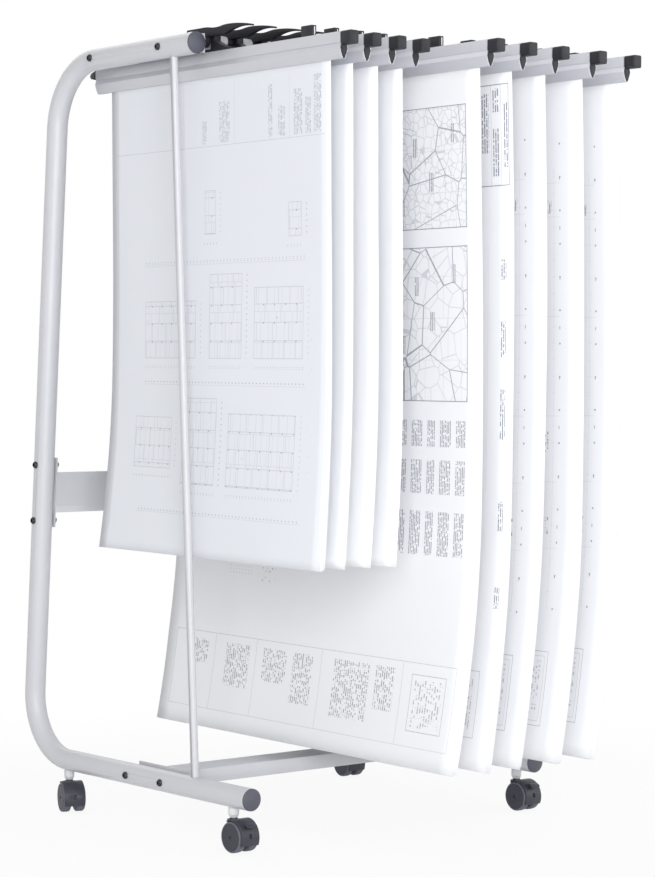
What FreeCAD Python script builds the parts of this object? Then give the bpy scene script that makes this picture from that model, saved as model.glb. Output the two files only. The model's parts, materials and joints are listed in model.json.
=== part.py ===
"""Front-loading plan hanging rack: a bent-tube trolley with nine plan hangers, in millimetres.

Row frame: +Z up, the floor at Z = 0, the front (the side the hangers are loaded from) facing -Y, and the
origin on the floor in the middle of the whole object.  The hangers lie along Y and hang side by side along X.
"""

import FreeCAD, Part
import Sketcher
import enum
import math
import os

# ---------------------------------------------------------------------------------------------- sizes
SIZES = {
    # side frames
    "tube_od": 38,
    "tube_wall": 2,
    "frame_spacing": 662,
    "frame_height": 1280,
    "top_arm_reach": 13,
    "bottom_arm_reach": 176,
    "leg_top_setback": 407.5,
    "leg_bottom_setback": 493,
    "top_bend_radius": 125,
    "bottom_bend_radius": 112,
    "rod_od": 14,
    "rod_top_setback": 53,
    "rod_bottom_reach": 19,
    "cap_plug_length": 14,
    "cap_lip": 2.5,
    "cap_dome": 5,
    "cap_edge": 1.2,
    # cross members, all folded from one gauge of sheet
    "sheet_gauge": 2,
    "seat_gap": 0.2,
    "cover_rise": 2,
    "panel_front": 26,
    "panel_depth": 268,
    "panel_flange_depth": 36,
    "panel_lip": 20,
    "panel_bolt_front": 73,
    "panel_bolt_pitch": 209,
    "rail_od": 20,
    "rail_drop": 11,
    "brace_height": 75,
    "brace_centre": 582,
    "brace_inset": 12.3,
    "brace_flange_height": 130,
    "brace_flange_width": 28,
    "brace_lip": 12,
    "brace_bolt_pitch": 104,
    "channel_front": 29,
    "channel_depth": 67,
    "channel_height": 25,
    "channel_flange_length": 146,
    "channel_flange_height": 34,
    "channel_bolt_front": 59,
    "channel_bolt_pitch": 104,
    # fasteners
    "bolt_diameter": 8,
    "bolt_clearance": 0.3,
    "bolt_head_diameter": 13,
    "bolt_head_height": 4.4,
    "bolt_head_edge": 1.3,
    "bolt_socket": 5,
    "bolt_socket_depth": 2.8,
    "bolt_overrun": 9,
    "nut_across_flats": 13,
    "nut_height": 6.5,
    # finger arms
    "finger_width": 11,
    "finger_offset": -13,
    "finger_collar": 3,
    "finger_tail": 44,
    "finger_tail_height": 7.1,
    "finger_round": 3,
    "finger_heel": 14,
    "finger_heel_drop": 9,
    "horn_flat": 6,
    "horn_wave": 16,
    "horn_sink": 1.3,
    "horn_reach": 136.5,
    "horn_tip_width": 6,
    "horn_tip_height": 3,
    "horn_tip_drop": 6.5,
    "horn_arch": 130,
    "horn_arch_end": 66,
    "horn_arch_low": 5.5,
    "horn_root": 59,
    "horn_root_round": 20,
    "horn_low": 4.2,
    # castors
    "castor_height": 73,
    "wheel_diameter": 53,
    "wheel_width": 15.5,
    "wheel_edge": 2.5,
    "wheel_dish": 3,
    "wheel_hub": 20,
    "castor_trail": 17.5,
    "web_width": 10.4,
    "web_radius": 13,
    "hood_gap": 1.2,
    "hood_wall": 2,
    "hood_inset": 2.2,
    "hood_front_angle": -26,
    "hood_rear_angle": 118,
    "hood_slot_width": 5,
    "hood_slot_height": 8,
    "hood_slot_depth": 4,
    "swivel_boss": 22,
    "swivel_boss_bottom": 30,
    "neck_diameter": 13,
    "neck_height": 2.8,
    "stem_diameter": 8,
    "stem_engagement": 24,
    "socket_collar": 16,
    "socket_flange": 18.4,
    "socket_flange_height": 11,
    "socket_foot": 13.6,
    "socket_inset": 12,
    "axle_diameter": 6,
    "running_clearance": 0.05,
    "side_clearance": 0.3,
    "front_castor_reach": 128,
    "rear_castor_setback": 370,
    "brake_width": 20,
    "brake_length": 11,
    "brake_thickness": 3,
    "brake_knuckle": 5,
    "brake_pin_diameter": 2.4,
    "brake_ear_width": 2,
    "brake_pad_drop": 3,
    "brake_lean": 45,
    # hangers
    "hanger_drop": 32,
    "head_width": 16,
    "head_height": 18,
    "head_wall": 1.8,
    "head_slot": 6,
    "jaw_drop": 25.5,
    "jaw_wall": 1.8,
    "jaw_lip": 4,
    "jaw_gap": 0.3,
    "jaw_swing_gap": 0.42,
    "jaw_belly": 8.5,
    "jaw_bulge": 0.8,
    "jaw_flank": 60,
    "neck_groove": 1.2,
    "hinge_bead": 3,
    "hinge_drop": 0.9,
    "hinge_claw": 1.2,
    "small_rail_length": 697,
    "small_rail_offset": -10.5,
    "large_rail_length": 883,
    "large_rail_offset": -3.5,
    "hook_width": 13.5,
    "hook_clearance": 0.35,
    "hook_thickness": 9.5,
    "hook_stem": 11,
    "hook_jaw": 14,
    "hook_round": 8,
    "hook_fillet": 3,
    "hook_sweep": 110,
    "hook_sweep_top": 19,
    "hook_sweep_foot": 57,
    "hook_foot_front": 62,
    "hook_foot_rear": 29,
    "hook_foot_height": 5,
    "hook_tongue": 5,
    "lift_angle": 5,
    "end_plate": 0.8,
    "end_plate_inset": 1.2,
    "end_plate_point": 1.4,
    "end_plate_tip_gap": 0.3,
    "handle_length": 22.6,
    "handle_width": 19,
    "handle_offset": 1.8,
    "handle_above": 0.6,
    "handle_below": 21.2,
    "handle_round": 3,
    "rear_cap_length": 24,
    "rear_cap_taper": 4,
    "index_length": 28,
    "index_width": 10,
    "index_height": 18.5,
    "index_wall": 1.8,
    "index_recess": 1.5,
    "small_index_setback": 104.5,
    "large_index_setback": 149,
    # paper
    "stack_thickness": 1.2,
    "grip_depth": 11,
    "small_sheet_width": 620,
    "small_sheet_height": 841,
    "small_sheet_offset": -13,
    "small_sheet_bulge": 4,
    "small_sheet_curl": 13,
    "large_sheet_width": 841,
    "large_sheet_height": 1189,
    "large_sheet_offset": 2,
    "large_sheet_bulge": 10,
    "large_sheet_curl": 46,
    # where each hanger hangs along the front rail, from the rack's middle
    "hanger_place_1": -291,
    "hanger_place_2": -242,
    "hanger_place_3": -188,
    "hanger_place_4": -136,
    "hanger_place_5": -47,
    "hanger_place_6": 27,
    "hanger_place_7": 103,
    "hanger_place_8": 193,
    "hanger_place_9": 278,
    # how far each rear castor has swung from straight ahead, in degrees
    "near_castor_swing": -20,
    "far_castor_swing": -5,
}
SMALL_HANGERS = (1, 2, 3, 4)
LARGE_HANGERS = (5, 6, 7, 8, 9)

doc = FreeCAD.newDocument("plan_hanging_rack")
sheet = doc.addObject("Spreadsheet::Sheet", "sizes")
for row, (alias, value) in enumerate(SIZES.items(), start=1):
    sheet.set(f"A{row}", alias)
    sheet.set(f"B{row}", str(value))
    sheet.setAlias(f"B{row}", alias)
doc.recompute()


class Size:
    """A number together with the spreadsheet expression that works it out."""

    def __init__(self, value, text):
        self.value = float(value)
        self.text = text

    @staticmethod
    def of(other):
        return other if isinstance(other, Size) else Size(other, f"{float(other):.6g}")

    def _join(self, other, sign, value):
        return Size(value, f"({self.text} {sign} {other.text})")

    def __add__(self, other):
        other = Size.of(other)
        return self._join(other, "+", self.value + other.value)

    def __sub__(self, other):
        other = Size.of(other)
        return self._join(other, "-", self.value - other.value)

    def __mul__(self, other):
        other = Size.of(other)
        return self._join(other, "*", self.value * other.value)

    def __truediv__(self, other):
        other = Size.of(other)
        return self._join(other, "/", self.value / other.value)

    def __radd__(self, other):
        return Size.of(other) + self

    def __rsub__(self, other):
        return Size.of(other) - self

    def __rmul__(self, other):
        return Size.of(other) * self

    def __neg__(self):
        return 0 - self


def root_of(size):
    return Size(math.sqrt(size.value), f"sqrt({size.text})")


def sine(degrees):
    degrees = Size.of(degrees)
    return Size(math.sin(math.radians(degrees.value)), f"sin({degrees.text})")


def cosine(degrees):
    degrees = Size.of(degrees)
    return Size(math.cos(math.radians(degrees.value)), f"cos({degrees.text})")


def cell(name):
    return Size(SIZES[name], f"sizes.{name}")


class Cells:
    """Reads a driving size by its name: size.tube_od."""

    def __getattr__(self, name):
        return cell(name)


size = Cells()

# ------------------------------------------------------------------------------ places worked out once
TUBE_R = size.tube_od / 2
SIDE_X = size.frame_spacing / 2
BOTTOM_Z = size.castor_height + TUBE_R
TOP_Z = BOTTOM_Z + size.frame_height
COVER_Z = TOP_Z + TUBE_R + size.cover_rise
RAIL_R = size.rail_od / 2
RAIL_Z = TOP_Z + TUBE_R - size.rail_drop
HANGER_TOP_Z = TOP_Z + TUBE_R - size.hanger_drop
JAW_TIP_Z = HANGER_TOP_Z - size.head_height - size.jaw_drop

# The leg leans back as it goes down.  Its corners with the two arms, and the bends that round them.
LEG_RUN = size.leg_bottom_setback - size.leg_top_setback
LEG_LENGTH = root_of(LEG_RUN * LEG_RUN + size.frame_height * size.frame_height)
LEG_SIN = LEG_RUN / LEG_LENGTH
LEG_COS = size.frame_height / LEG_LENGTH
TOP_TANGENT = size.top_bend_radius * (LEG_LENGTH - LEG_RUN) / size.frame_height
BOTTOM_TANGENT = size.bottom_bend_radius * (LEG_LENGTH + LEG_RUN) / size.frame_height

# The rack's middle in Y lies half way between the long hangers' handles and the back of the lower bends.
FRONT_REACH = (
    size.large_rail_length / 2 - size.large_rail_offset + size.end_plate + size.handle_length
)
LOWER_BEND_CENTRE = size.leg_bottom_setback - BOTTOM_TANGENT
BACK_REACH = LOWER_BEND_CENTRE + size.bottom_bend_radius + TUBE_R
RAIL_Y = (FRONT_REACH - BACK_REACH) / 2


def leg_setback(height):
    """Where the leg's centre line is behind the rail, at a height above the floor."""
    return size.leg_top_setback + (TOP_Z - height) * LEG_RUN / size.frame_height


# ----------------------------------------------------------------------------------- modelling helpers
FRONT, SIDE, PLAN = "XZ_Plane", "YZ_Plane", "XY_Plane"
ORIGIN = -1


class Point(enum.IntEnum):
    """Which point of a sketch's geometry a constraint holds."""

    START = 1
    END = 2
    CENTRE = 3


def bind(thing, path, value):
    thing.setExpression(path, Size.of(value).text)


def place(thing, x=0, y=0, z=0):
    for letter, value in (("x", x), ("y", y), ("z", z)):
        bind(thing, f"Placement.Base.{letter}", value)
    return thing


def new_body(name):
    thing = doc.addObject("PartDesign::Body", name)
    thing.Label = name
    return thing


def new_sketch(body, name, plane, away=0):
    """A sketch on one of the body's own planes, moved along that plane's normal."""
    sketch = body.newObject("Sketcher::SketchObject", name)
    support = [f for f in body.Origin.OriginFeatures if f.Role == plane][0]
    sketch.AttachmentSupport = [(support, "")]
    sketch.MapMode = "FlatFace"
    bind(sketch, "AttachmentOffset.Base.z", away)
    return sketch


def fix_point(sketch, geometry, end, x, y):
    for kind, value in (("DistanceX", x), ("DistanceY", y)):
        value = Size.of(value)
        index = sketch.addConstraint(
            Sketcher.Constraint(kind, ORIGIN, Point.START, geometry, end, value.value)
        )
        sketch.setExpression(f"Constraints[{index}]", value.text)


def arc_between(a, b, radius):
    """The arc from a to b: anticlockwise for a positive radius, clockwise for a negative one."""
    turn = math.copysign(1, radius)
    chord = b - a
    half = chord.Length / 2
    rise = math.sqrt(max(radius * radius - half * half, 0))
    left = FreeCAD.Vector(-chord.y, chord.x, 0).normalize()
    middle = (a + b) / 2 + left * rise * turn
    first, last = (a, b) if turn > 0 else (b, a)
    angles = [math.atan2(p.y - middle.y, p.x - middle.x) for p in (first, last)]
    circle = Part.Circle(middle, FreeCAD.Vector(0, 0, 1), abs(radius))
    return Part.ArcOfCircle(circle, *angles)


def draw(sketch, path, closed=True):
    """Draws a path of (x, y) corners; (x, y, radius) reaches its corner by an arc."""
    corners = [FreeCAD.Vector(Size.of(p[0]).value, Size.of(p[1]).value, 0) for p in path]
    count = len(path)
    ends = []
    for i in range(count if closed else count - 1):
        a, b, reached = corners[i], corners[(i + 1) % count], path[(i + 1) % count]
        if len(reached) == 3:
            radius = Size.of(reached[2])
            index = sketch.addGeometry(arc_between(a, b, radius.value), False)
            forward = radius.value > 0
            first, last = (Point.START, Point.END) if forward else (Point.END, Point.START)
            ends.append((index, first, last))
            size_of = Size(abs(radius.value), f"abs({radius.text})")
            bound = sketch.addConstraint(Sketcher.Constraint("Radius", index, size_of.value))
            sketch.setExpression(f"Constraints[{bound}]", size_of.text)
        else:
            index = sketch.addGeometry(Part.LineSegment(a, b), False)
            ends.append((index, Point.START, Point.END))
    joins = len(ends) if closed else len(ends) - 1
    for i in range(joins):
        this, following = ends[i], ends[(i + 1) % len(ends)]
        sketch.addConstraint(
            Sketcher.Constraint("Coincident", this[0], this[2], following[0], following[1])
        )
    for i, (index, first, last) in enumerate(ends):
        fix_point(sketch, index, first, path[i][0], path[i][1])
    if not closed:
        fix_point(sketch, ends[-1][0], ends[-1][2], path[-1][0], path[-1][1])


def draw_circle(sketch, x, y, diameter):
    centre = FreeCAD.Vector(Size.of(x).value, Size.of(y).value, 0)
    radius = Size.of(diameter).value / 2
    index = sketch.addGeometry(Part.Circle(centre, FreeCAD.Vector(0, 0, 1), radius), False)
    fix_point(sketch, index, Point.CENTRE, x, y)
    bound = sketch.addConstraint(Sketcher.Constraint("Diameter", index, radius * 2))
    sketch.setExpression(f"Constraints[{bound}]", Size.of(diameter).text)


def pad(body, name, plane, path, length, away=0, symmetric=False):
    sketch = new_sketch(body, f"{name}_outline", plane, away)
    draw(sketch, path)
    return pad_sketch(body, name, sketch, length, symmetric)


def pad_sketch(body, name, sketch, length, symmetric=False):
    feature = body.newObject("PartDesign::Pad", name)
    feature.Profile = sketch
    feature.SideType = "Symmetric" if symmetric else "One side"
    bind(feature, "Length", length)
    return feature


def pocket(body, name, sketch, length=None):
    """Cuts to both sides of the sketch: through everything, or by a length in all."""
    feature = body.newObject("PartDesign::Pocket", name)
    feature.Profile = sketch
    feature.SideType = "Symmetric"
    if length is None:
        feature.Type = "ThroughAll"
    else:
        bind(feature, "Length", length)
    return feature


def revolve(body, name, plane, path, axis):
    """Turns an outline about one of its sketch's own axes, H_Axis or V_Axis."""
    sketch = new_sketch(body, f"{name}_outline", plane)
    draw(sketch, path)
    feature = body.newObject("PartDesign::Revolution", name)
    feature.Profile = sketch
    feature.ReferenceAxis = (sketch, [axis])
    return feature


def box_path(x0, y0, x1, y1):
    return [(x0, y0), (x1, y0), (x1, y1), (x0, y1)]


def cylinder(name, diameter, length, axis, x, y, z):
    """A bar with its start at (x, y, z), along the given axis."""
    bar = doc.addObject("Part::Cylinder", name)
    bind(bar, "Radius", Size.of(diameter) / 2)
    bind(bar, "Height", length)
    turns = {"x": ((0, 1, 0), 90), "y": ((1, 0, 0), -90), "z": ((0, 0, 1), 0)}
    direction, angle = turns[axis]
    bar.Placement.Rotation = FreeCAD.Rotation(FreeCAD.Vector(*direction), angle)
    return place(bar, x, y, z)


def group(name, pieces):
    """Like pieces that share one node, each still a solid of its own."""
    bundle = doc.addObject("Part::Compound", name)
    bundle.Label = name
    bundle.Links = pieces
    return bundle


# ------------------------------------------------------------------------------------- the side frames
def bolt_places():
    """The (Y, Z) of the six bolts on a side frame, in the row frame."""
    front = RAIL_Y + size.panel_bolt_front
    rear_z = [size.brace_centre + size.brace_bolt_pitch * share for share in (0.5, -0.5)]
    low = RAIL_Y + size.channel_bolt_front
    return [
        (front, TOP_Z),
        (front + size.panel_bolt_pitch, TOP_Z),
        (RAIL_Y + leg_setback(rear_z[0]), rear_z[0]),
        (RAIL_Y + leg_setback(rear_z[1]), rear_z[1]),
        (low, BOTTOM_Z),
        (low + size.channel_bolt_pitch, BOTTOM_Z),
    ]


def castor_places():
    front = RAIL_Y - size.front_castor_reach
    rear = RAIL_Y + size.rear_castor_setback
    return {
        "front_left": (-SIDE_X, front, Size.of(0)),
        "front_right": (SIDE_X, front, Size.of(0)),
        "rear_left": (-SIDE_X, rear, size.near_castor_swing),
        "rear_right": (SIDE_X, rear, size.far_castor_swing),
    }


def side_frame(name, x):
    """One bent tube: a short top arm, the leaning leg and a long bottom arm."""
    body = new_body(name)
    corner_top = RAIL_Y + size.leg_top_setback
    corner_low = RAIL_Y + size.leg_bottom_setback
    start = RAIL_Y - size.top_arm_reach
    spine = new_sketch(body, f"{name}_line", SIDE)
    draw(
        spine,
        [
            (start, TOP_Z),
            (corner_top - TOP_TANGENT, TOP_Z),
            (
                corner_top + TOP_TANGENT * LEG_SIN,
                TOP_Z - TOP_TANGENT * LEG_COS,
                -size.top_bend_radius,
            ),
            (corner_low - BOTTOM_TANGENT * LEG_SIN, BOTTOM_Z + BOTTOM_TANGENT * LEG_COS),
            (corner_low - BOTTOM_TANGENT, BOTTOM_Z, -size.bottom_bend_radius),
            (RAIL_Y - size.bottom_arm_reach, BOTTOM_Z),
        ],
        closed=False,
    )
    ring = new_sketch(body, f"{name}_ring", FRONT, -start)
    draw_circle(ring, 0, TOP_Z, size.tube_od)
    draw_circle(ring, 0, TOP_Z, size.tube_od - size.tube_wall * 2)
    tube = body.newObject("PartDesign::AdditivePipe", f"{name}_tube")
    tube.Profile = ring
    tube.Spine = (spine, [])
    holes = new_sketch(body, f"{name}_holes", SIDE)
    for y, z in bolt_places():
        draw_circle(holes, y, z, size.bolt_diameter + size.bolt_clearance * 2)
    pocket(body, f"{name}_bolt_holes", holes)
    sockets = new_sketch(body, f"{name}_sockets", PLAN, BOTTOM_Z - TUBE_R)
    for reach in (-size.front_castor_reach, size.rear_castor_setback):
        draw_circle(sockets, 0, RAIL_Y + reach, size.socket_collar + size.seat_gap * 2)
    pocket(body, f"{name}_socket_holes", sockets, TUBE_R)
    return place(body, x)


def stay_rod(name, x):
    """The thin rod between the arms, with its ends cut to the arms' round."""
    top = (RAIL_Y + size.rod_top_setback, TOP_Z)
    low = (RAIL_Y - size.rod_bottom_reach, BOTTOM_Z)
    run = top[0] - low[0]
    length = root_of(run * run + size.frame_height * size.frame_height)
    bar = doc.addObject("Part::Cylinder", f"{name}_bar")
    bind(bar, "Radius", size.rod_od / 2)
    bind(bar, "Height", length)
    bar.Placement.Rotation = FreeCAD.Rotation(FreeCAD.Vector(1, 0, 0), -1)
    bar.setExpression("Placement.Rotation.Angle", f"atan({run.text} / {size.frame_height.text})")
    bar.setExpression("Placement.Rotation.Axis.x", "-1")
    place(bar, x, low[0], low[1])
    cut = bar
    for end, z in (("top", TOP_Z), ("bottom", BOTTOM_Z)):
        arm = cylinder(
            f"{name}_{end}_arm", size.tube_od, size.frame_height, "y", x,
            RAIL_Y - size.frame_height / 2, z,
        )
        shorter = doc.addObject("Part::Cut", f"{name}_{end}_cut")
        shorter.Base = cut
        shorter.Tool = arm
        cut = shorter
    return cut


def end_cap(name, x, y, z):
    """A ribbed plug with a low domed face that closes an open tube end."""
    body = new_body(name)
    bore_r = TUBE_R - size.tube_wall - size.seat_gap
    front = -size.cap_lip
    # The dome is one arc from the rim to the axis; radius from the rim's size and the dome's rise.
    rise = size.cap_dome
    rim = TUBE_R - size.cap_edge
    dome = (rim * rim + rise * rise) / (rise * 2)
    revolve(
        body,
        f"{name}_turned",
        PLAN,
        [
            (0, front - rise),
            (rim, front, dome),
            (TUBE_R, front + size.cap_edge, size.cap_edge),
            (TUBE_R, 0),
            (bore_r, 0),
            (bore_r, size.cap_plug_length),
            (0, size.cap_plug_length),
        ],
        "V_Axis",
    )
    return place(body, x, y, z)


# ---------------------------------------------------------------------------------- the cross members
def top_panel():
    """A folded panel between the top arms, with the front rail welded between its two side flanges."""
    face = SIDE_X - TUBE_R - size.seat_gap
    inner = face - size.sheet_gauge
    front = RAIL_Y + size.panel_front
    back = front + size.panel_depth
    under = COVER_Z - size.sheet_gauge
    plate = new_body("panel_plate")
    pad(
        plate, "panel_fold", SIDE,
        [
            (front, COVER_Z - size.panel_lip),
            (front + size.sheet_gauge, COVER_Z - size.panel_lip),
            (front + size.sheet_gauge, under),
            (back - size.sheet_gauge, under),
            (back - size.sheet_gauge, COVER_Z - size.panel_lip),
            (back, COVER_Z - size.panel_lip),
            (back, COVER_Z),
            (front, COVER_Z),
        ],
        inner * 2, symmetric=True,
    )
    pieces = [plate]
    for hand, start in (("left", -face), ("right", inner)):
        flange = new_body(f"panel_{hand}_flange")
        pad(
            flange, f"panel_{hand}_flange_sheet", SIDE,
            [
                (RAIL_Y - RAIL_R, COVER_Z - size.panel_flange_depth),
                (back, COVER_Z - size.panel_flange_depth),
                (back, COVER_Z),
                (front, COVER_Z),
                (RAIL_Y - RAIL_R, RAIL_Z + RAIL_R),
            ],
            size.sheet_gauge, away=start,
        )
        holes = new_sketch(flange, f"panel_{hand}_holes", SIDE)
        for y, z in bolt_places()[:2]:
            draw_circle(holes, y, z, size.bolt_diameter + size.bolt_clearance * 2)
        pocket(flange, f"panel_{hand}_bolt_holes", holes)
        pieces.append(flange)
    pieces.append(cylinder("front_rail", size.rail_od, inner * 2, "x", -inner, RAIL_Y, RAIL_Z))
    return group("top_panel", pieces)


def mid_brace():
    """A flat panel low on the legs, with turned lips and an upright flange against each leg."""
    body = new_body("mid_brace")
    face = SIDE_X - TUBE_R - size.seat_gap
    low = size.brace_centre - size.brace_height / 2
    high = size.brace_centre + size.brace_height / 2
    front = RAIL_Y + leg_setback(size.brace_centre) - size.brace_inset
    rear = front + size.brace_lip
    gauge = size.sheet_gauge
    pad(
        body, "brace_panel", SIDE,
        [
            (front, low),
            (rear, low),
            (rear, low + gauge),
            (front + gauge, low + gauge),
            (front + gauge, high - gauge),
            (rear, high - gauge),
            (rear, high),
            (front, high),
        ],
        face * 2, symmetric=True,
    )
    bottom = size.brace_centre - size.brace_flange_height / 2
    top = size.brace_centre + size.brace_flange_height / 2
    half = size.brace_flange_width / 2
    corners = [
        (RAIL_Y + leg_setback(bottom) - half, bottom),
        (RAIL_Y + leg_setback(bottom) + half, bottom),
        (RAIL_Y + leg_setback(top) + half, top),
        (RAIL_Y + leg_setback(top) - half, top),
    ]
    for hand, start in (("left", -face), ("right", face - gauge)):
        pad(body, f"brace_{hand}_flange", SIDE, corners, gauge, away=start)
    holes = new_sketch(body, "brace_holes", SIDE)
    for y, z in bolt_places()[2:4]:
        draw_circle(holes, y, z, size.bolt_diameter + size.bolt_clearance * 2)
    pocket(body, "brace_bolt_holes", holes)
    return body


def bottom_brace():
    """A channel across the bottom arms, with a long flange bolted to each arm."""
    body = new_body("bottom_brace")
    face = SIDE_X - TUBE_R - size.seat_gap
    gauge = size.sheet_gauge
    top = BOTTOM_Z + TUBE_R + size.cover_rise
    low = top - size.channel_height
    front = RAIL_Y + size.channel_front
    back = front + size.channel_depth
    pad(
        body, "channel", SIDE,
        [
            (front, low),
            (front + gauge, low),
            (front + gauge, top - gauge),
            (back - gauge, top - gauge),
            (back - gauge, low),
            (back, low),
            (back, top),
            (front, top),
        ],
        face * 2, symmetric=True,
    )
    flange = box_path(
        front, top - size.channel_flange_height, front + size.channel_flange_length, top
    )
    for hand, start in (("left", -face), ("right", face - gauge)):
        pad(body, f"channel_{hand}_flange", SIDE, flange, gauge, away=start)
    holes = new_sketch(body, "channel_holes", SIDE)
    for y, z in bolt_places()[4:]:
        draw_circle(holes, y, z, size.bolt_diameter + size.bolt_clearance * 2)
    pocket(body, "channel_bolt_holes", holes)
    return body


def hexagon(across_flats, y=0, z=0):
    """A six-cornered path about (y, z)."""
    reach = across_flats / (2 * cosine(30))
    return [(y + reach * cosine(60 * i), z + reach * sine(60 * i)) for i in range(6)]


def frame_bolt(name, hand, y, z):
    """A button-head bolt through a tube and its flange.  hand is -1 on the left side and 1 on the right."""
    body = new_body(name)
    shank_r = size.bolt_diameter / 2
    head_r = size.bolt_head_diameter / 2
    length = size.tube_od + size.sheet_gauge + size.seat_gap + size.bolt_overrun
    crown = head_r - size.bolt_head_edge * 2
    high = size.bolt_head_height
    edge = size.bolt_head_edge
    rise = high - edge
    side = head_r - crown
    # The dome meets the head's flat top at an angle, so its radius is over the tangent arc's.
    round_r = (rise * rise + side * side) / rise
    revolve(
        body, f"{name}_turned", PLAN,
        [
            (-hand * length, 0),
            (hand * high, 0),
            (hand * high, crown),
            (hand * edge, head_r, hand * round_r),
            (0, head_r),
            (0, shank_r),
            (-hand * length, shank_r),
        ],
        "H_Axis",
    )
    start = high - size.bolt_socket_depth if hand > 0 else -high
    socket = new_sketch(body, f"{name}_socket", SIDE, start)
    draw(socket, hexagon(size.bolt_socket))
    cut = body.newObject("PartDesign::Pocket", f"{name}_recess")
    cut.Profile = socket
    cut.Reversed = True
    bind(cut, "Length", size.bolt_socket_depth)
    return place(body, (SIDE_X + TUBE_R) * hand, y, z)


def frame_nut(name, hand, y, z):
    body = new_body(name)
    outline = new_sketch(body, f"{name}_outline", SIDE)
    draw(outline, hexagon(size.nut_across_flats))
    draw_circle(outline, 0, 0, size.bolt_diameter + size.running_clearance * 2)
    pad_sketch(body, f"{name}_block", outline, size.nut_height)
    face = SIDE_X - TUBE_R - size.seat_gap * 2 - size.sheet_gauge
    return place(body, (face - size.nut_height) if hand > 0 else -face, y, z)


# ------------------------------------------------------------------------------------ the finger arms
# The radius of a tip's nose as a share of the tip's height: a little over a half round.
TIP_SHARE = 0.52


def finger_arm(name, x):
    """A moulded finger: a tail on the panel, a collar round the rail's front and a horn reaching forward."""
    body = new_body(name)
    seat = RAIL_R + size.seat_gap
    collar = seat + size.finger_collar
    tail_z = COVER_Z - RAIL_Z + size.seat_gap
    crown = tail_z + size.finger_tail_height
    heel_z = -size.finger_heel_drop
    heel_y = seat + size.finger_heel
    corner = size.finger_round
    # The top line: level, then one slow wave down and up, then a long fall to the tip.
    wave, sink = size.horn_wave, size.horn_sink
    wave_r = (wave * wave + sink * sink) / (sink * 2)
    dip = -size.horn_flat - wave
    hump = dip - wave * 3
    tip = TIP_SHARE * size.horn_tip_height - size.horn_reach
    tip_z = crown - size.horn_tip_drop
    fall = hump - tip
    fall_r = (fall * fall + size.horn_tip_drop * size.horn_tip_drop) / (size.horn_tip_drop * 2)
    low = size.horn_low
    pad(
        body, f"{name}_side", SIDE,
        [
            (size.finger_tail, tail_z),
            (size.finger_tail, crown - corner),
            (size.finger_tail - corner, crown, corner),
            (-size.horn_flat, crown),
            (dip, crown - sink, wave_r),
            (dip - wave * 2, crown - sink, -wave_r),
            (hump, crown, wave_r),
            (tip, tip_z, fall_r),
            (tip, tip_z - size.horn_tip_height, size.horn_tip_height * TIP_SHARE),
            (-size.horn_arch_end, size.horn_arch_low, -size.horn_arch),
            (-size.horn_root, low, size.horn_root_round),
            (-root_of(collar * collar - low * low), low),
            (0, -collar, collar),
            (0, -seat),
            (-seat, 0, -seat),
            (0, seat, -seat),
            (seat, 0, -seat),
            (seat, heel_z),
            (heel_y, heel_z),
            (heel_y, tail_z),
        ],
        size.finger_width, symmetric=True,
    )
    # In plan the horn narrows from the collar's full width to its tip.
    trim = new_sketch(body, f"{name}_plan", PLAN, crown)
    half = size.finger_width / 2
    tip_half = size.horn_tip_width / 2
    beyond = -size.horn_reach - size.finger_collar
    for side in (-1, 1):
        draw(
            trim,
            [
                (half * side, -collar),
                (tip_half * side, tip),
                (tip_half * side, beyond),
                (size.finger_width * side, beyond),
                (size.finger_width * side, -collar),
            ],
        )
    pocket(body, f"{name}_taper", trim)
    return place(body, x + size.finger_offset, RAIL_Y, RAIL_Z)


# ---------------------------------------------------------------------------------------- the castors
AXLE_Z = size.wheel_diameter / 2
HOOD_R = AXLE_Z + size.hood_gap
HOOD_TOP = AXLE_Z + HOOD_R + size.hood_wall
STEM_LOW = HOOD_TOP + size.side_clearance - size.stem_engagement
BRAKE_LEAN = size.brake_lean
CASTOR_WIDTH = (size.web_width / 2 + size.side_clearance + size.wheel_width) * 2


def swing(thing, x, y, turn):
    """Puts a castor's piece, drawn about its stem, at its stem and turned to its swing."""
    thing.Placement.Rotation = FreeCAD.Rotation(FreeCAD.Vector(0, 0, 1), 1)
    thing.setExpression("Placement.Rotation.Angle", turn.text)
    return place(thing, x, y)


def castor_socket(name, x, y):
    """The plastic collar pushed into the arm, tapering to its foot, and the steel stem that it holds."""
    collar = new_body(f"{name}_collar")
    top = size.castor_height
    low = HOOD_TOP + size.side_clearance
    bore = size.stem_diameter / 2 + size.running_clearance
    flange_low = top - size.socket_flange_height
    revolve(
        collar, f"{name}_collar_turned", FRONT,
        [
            (bore, low),
            (size.socket_foot / 2, low),
            (size.socket_flange / 2, flange_low),
            (size.socket_flange / 2, top - size.seat_gap),
            (size.socket_collar / 2, top - size.seat_gap),
            (size.socket_collar / 2, top + size.socket_inset),
            (bore, top + size.socket_inset),
        ],
        "V_Axis",
    )
    place(collar, x, y)
    length = top + size.socket_inset - STEM_LOW
    stem = cylinder(f"{name}_stem", size.stem_diameter, length, "z", x, y, STEM_LOW)
    return [collar, stem]


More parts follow.
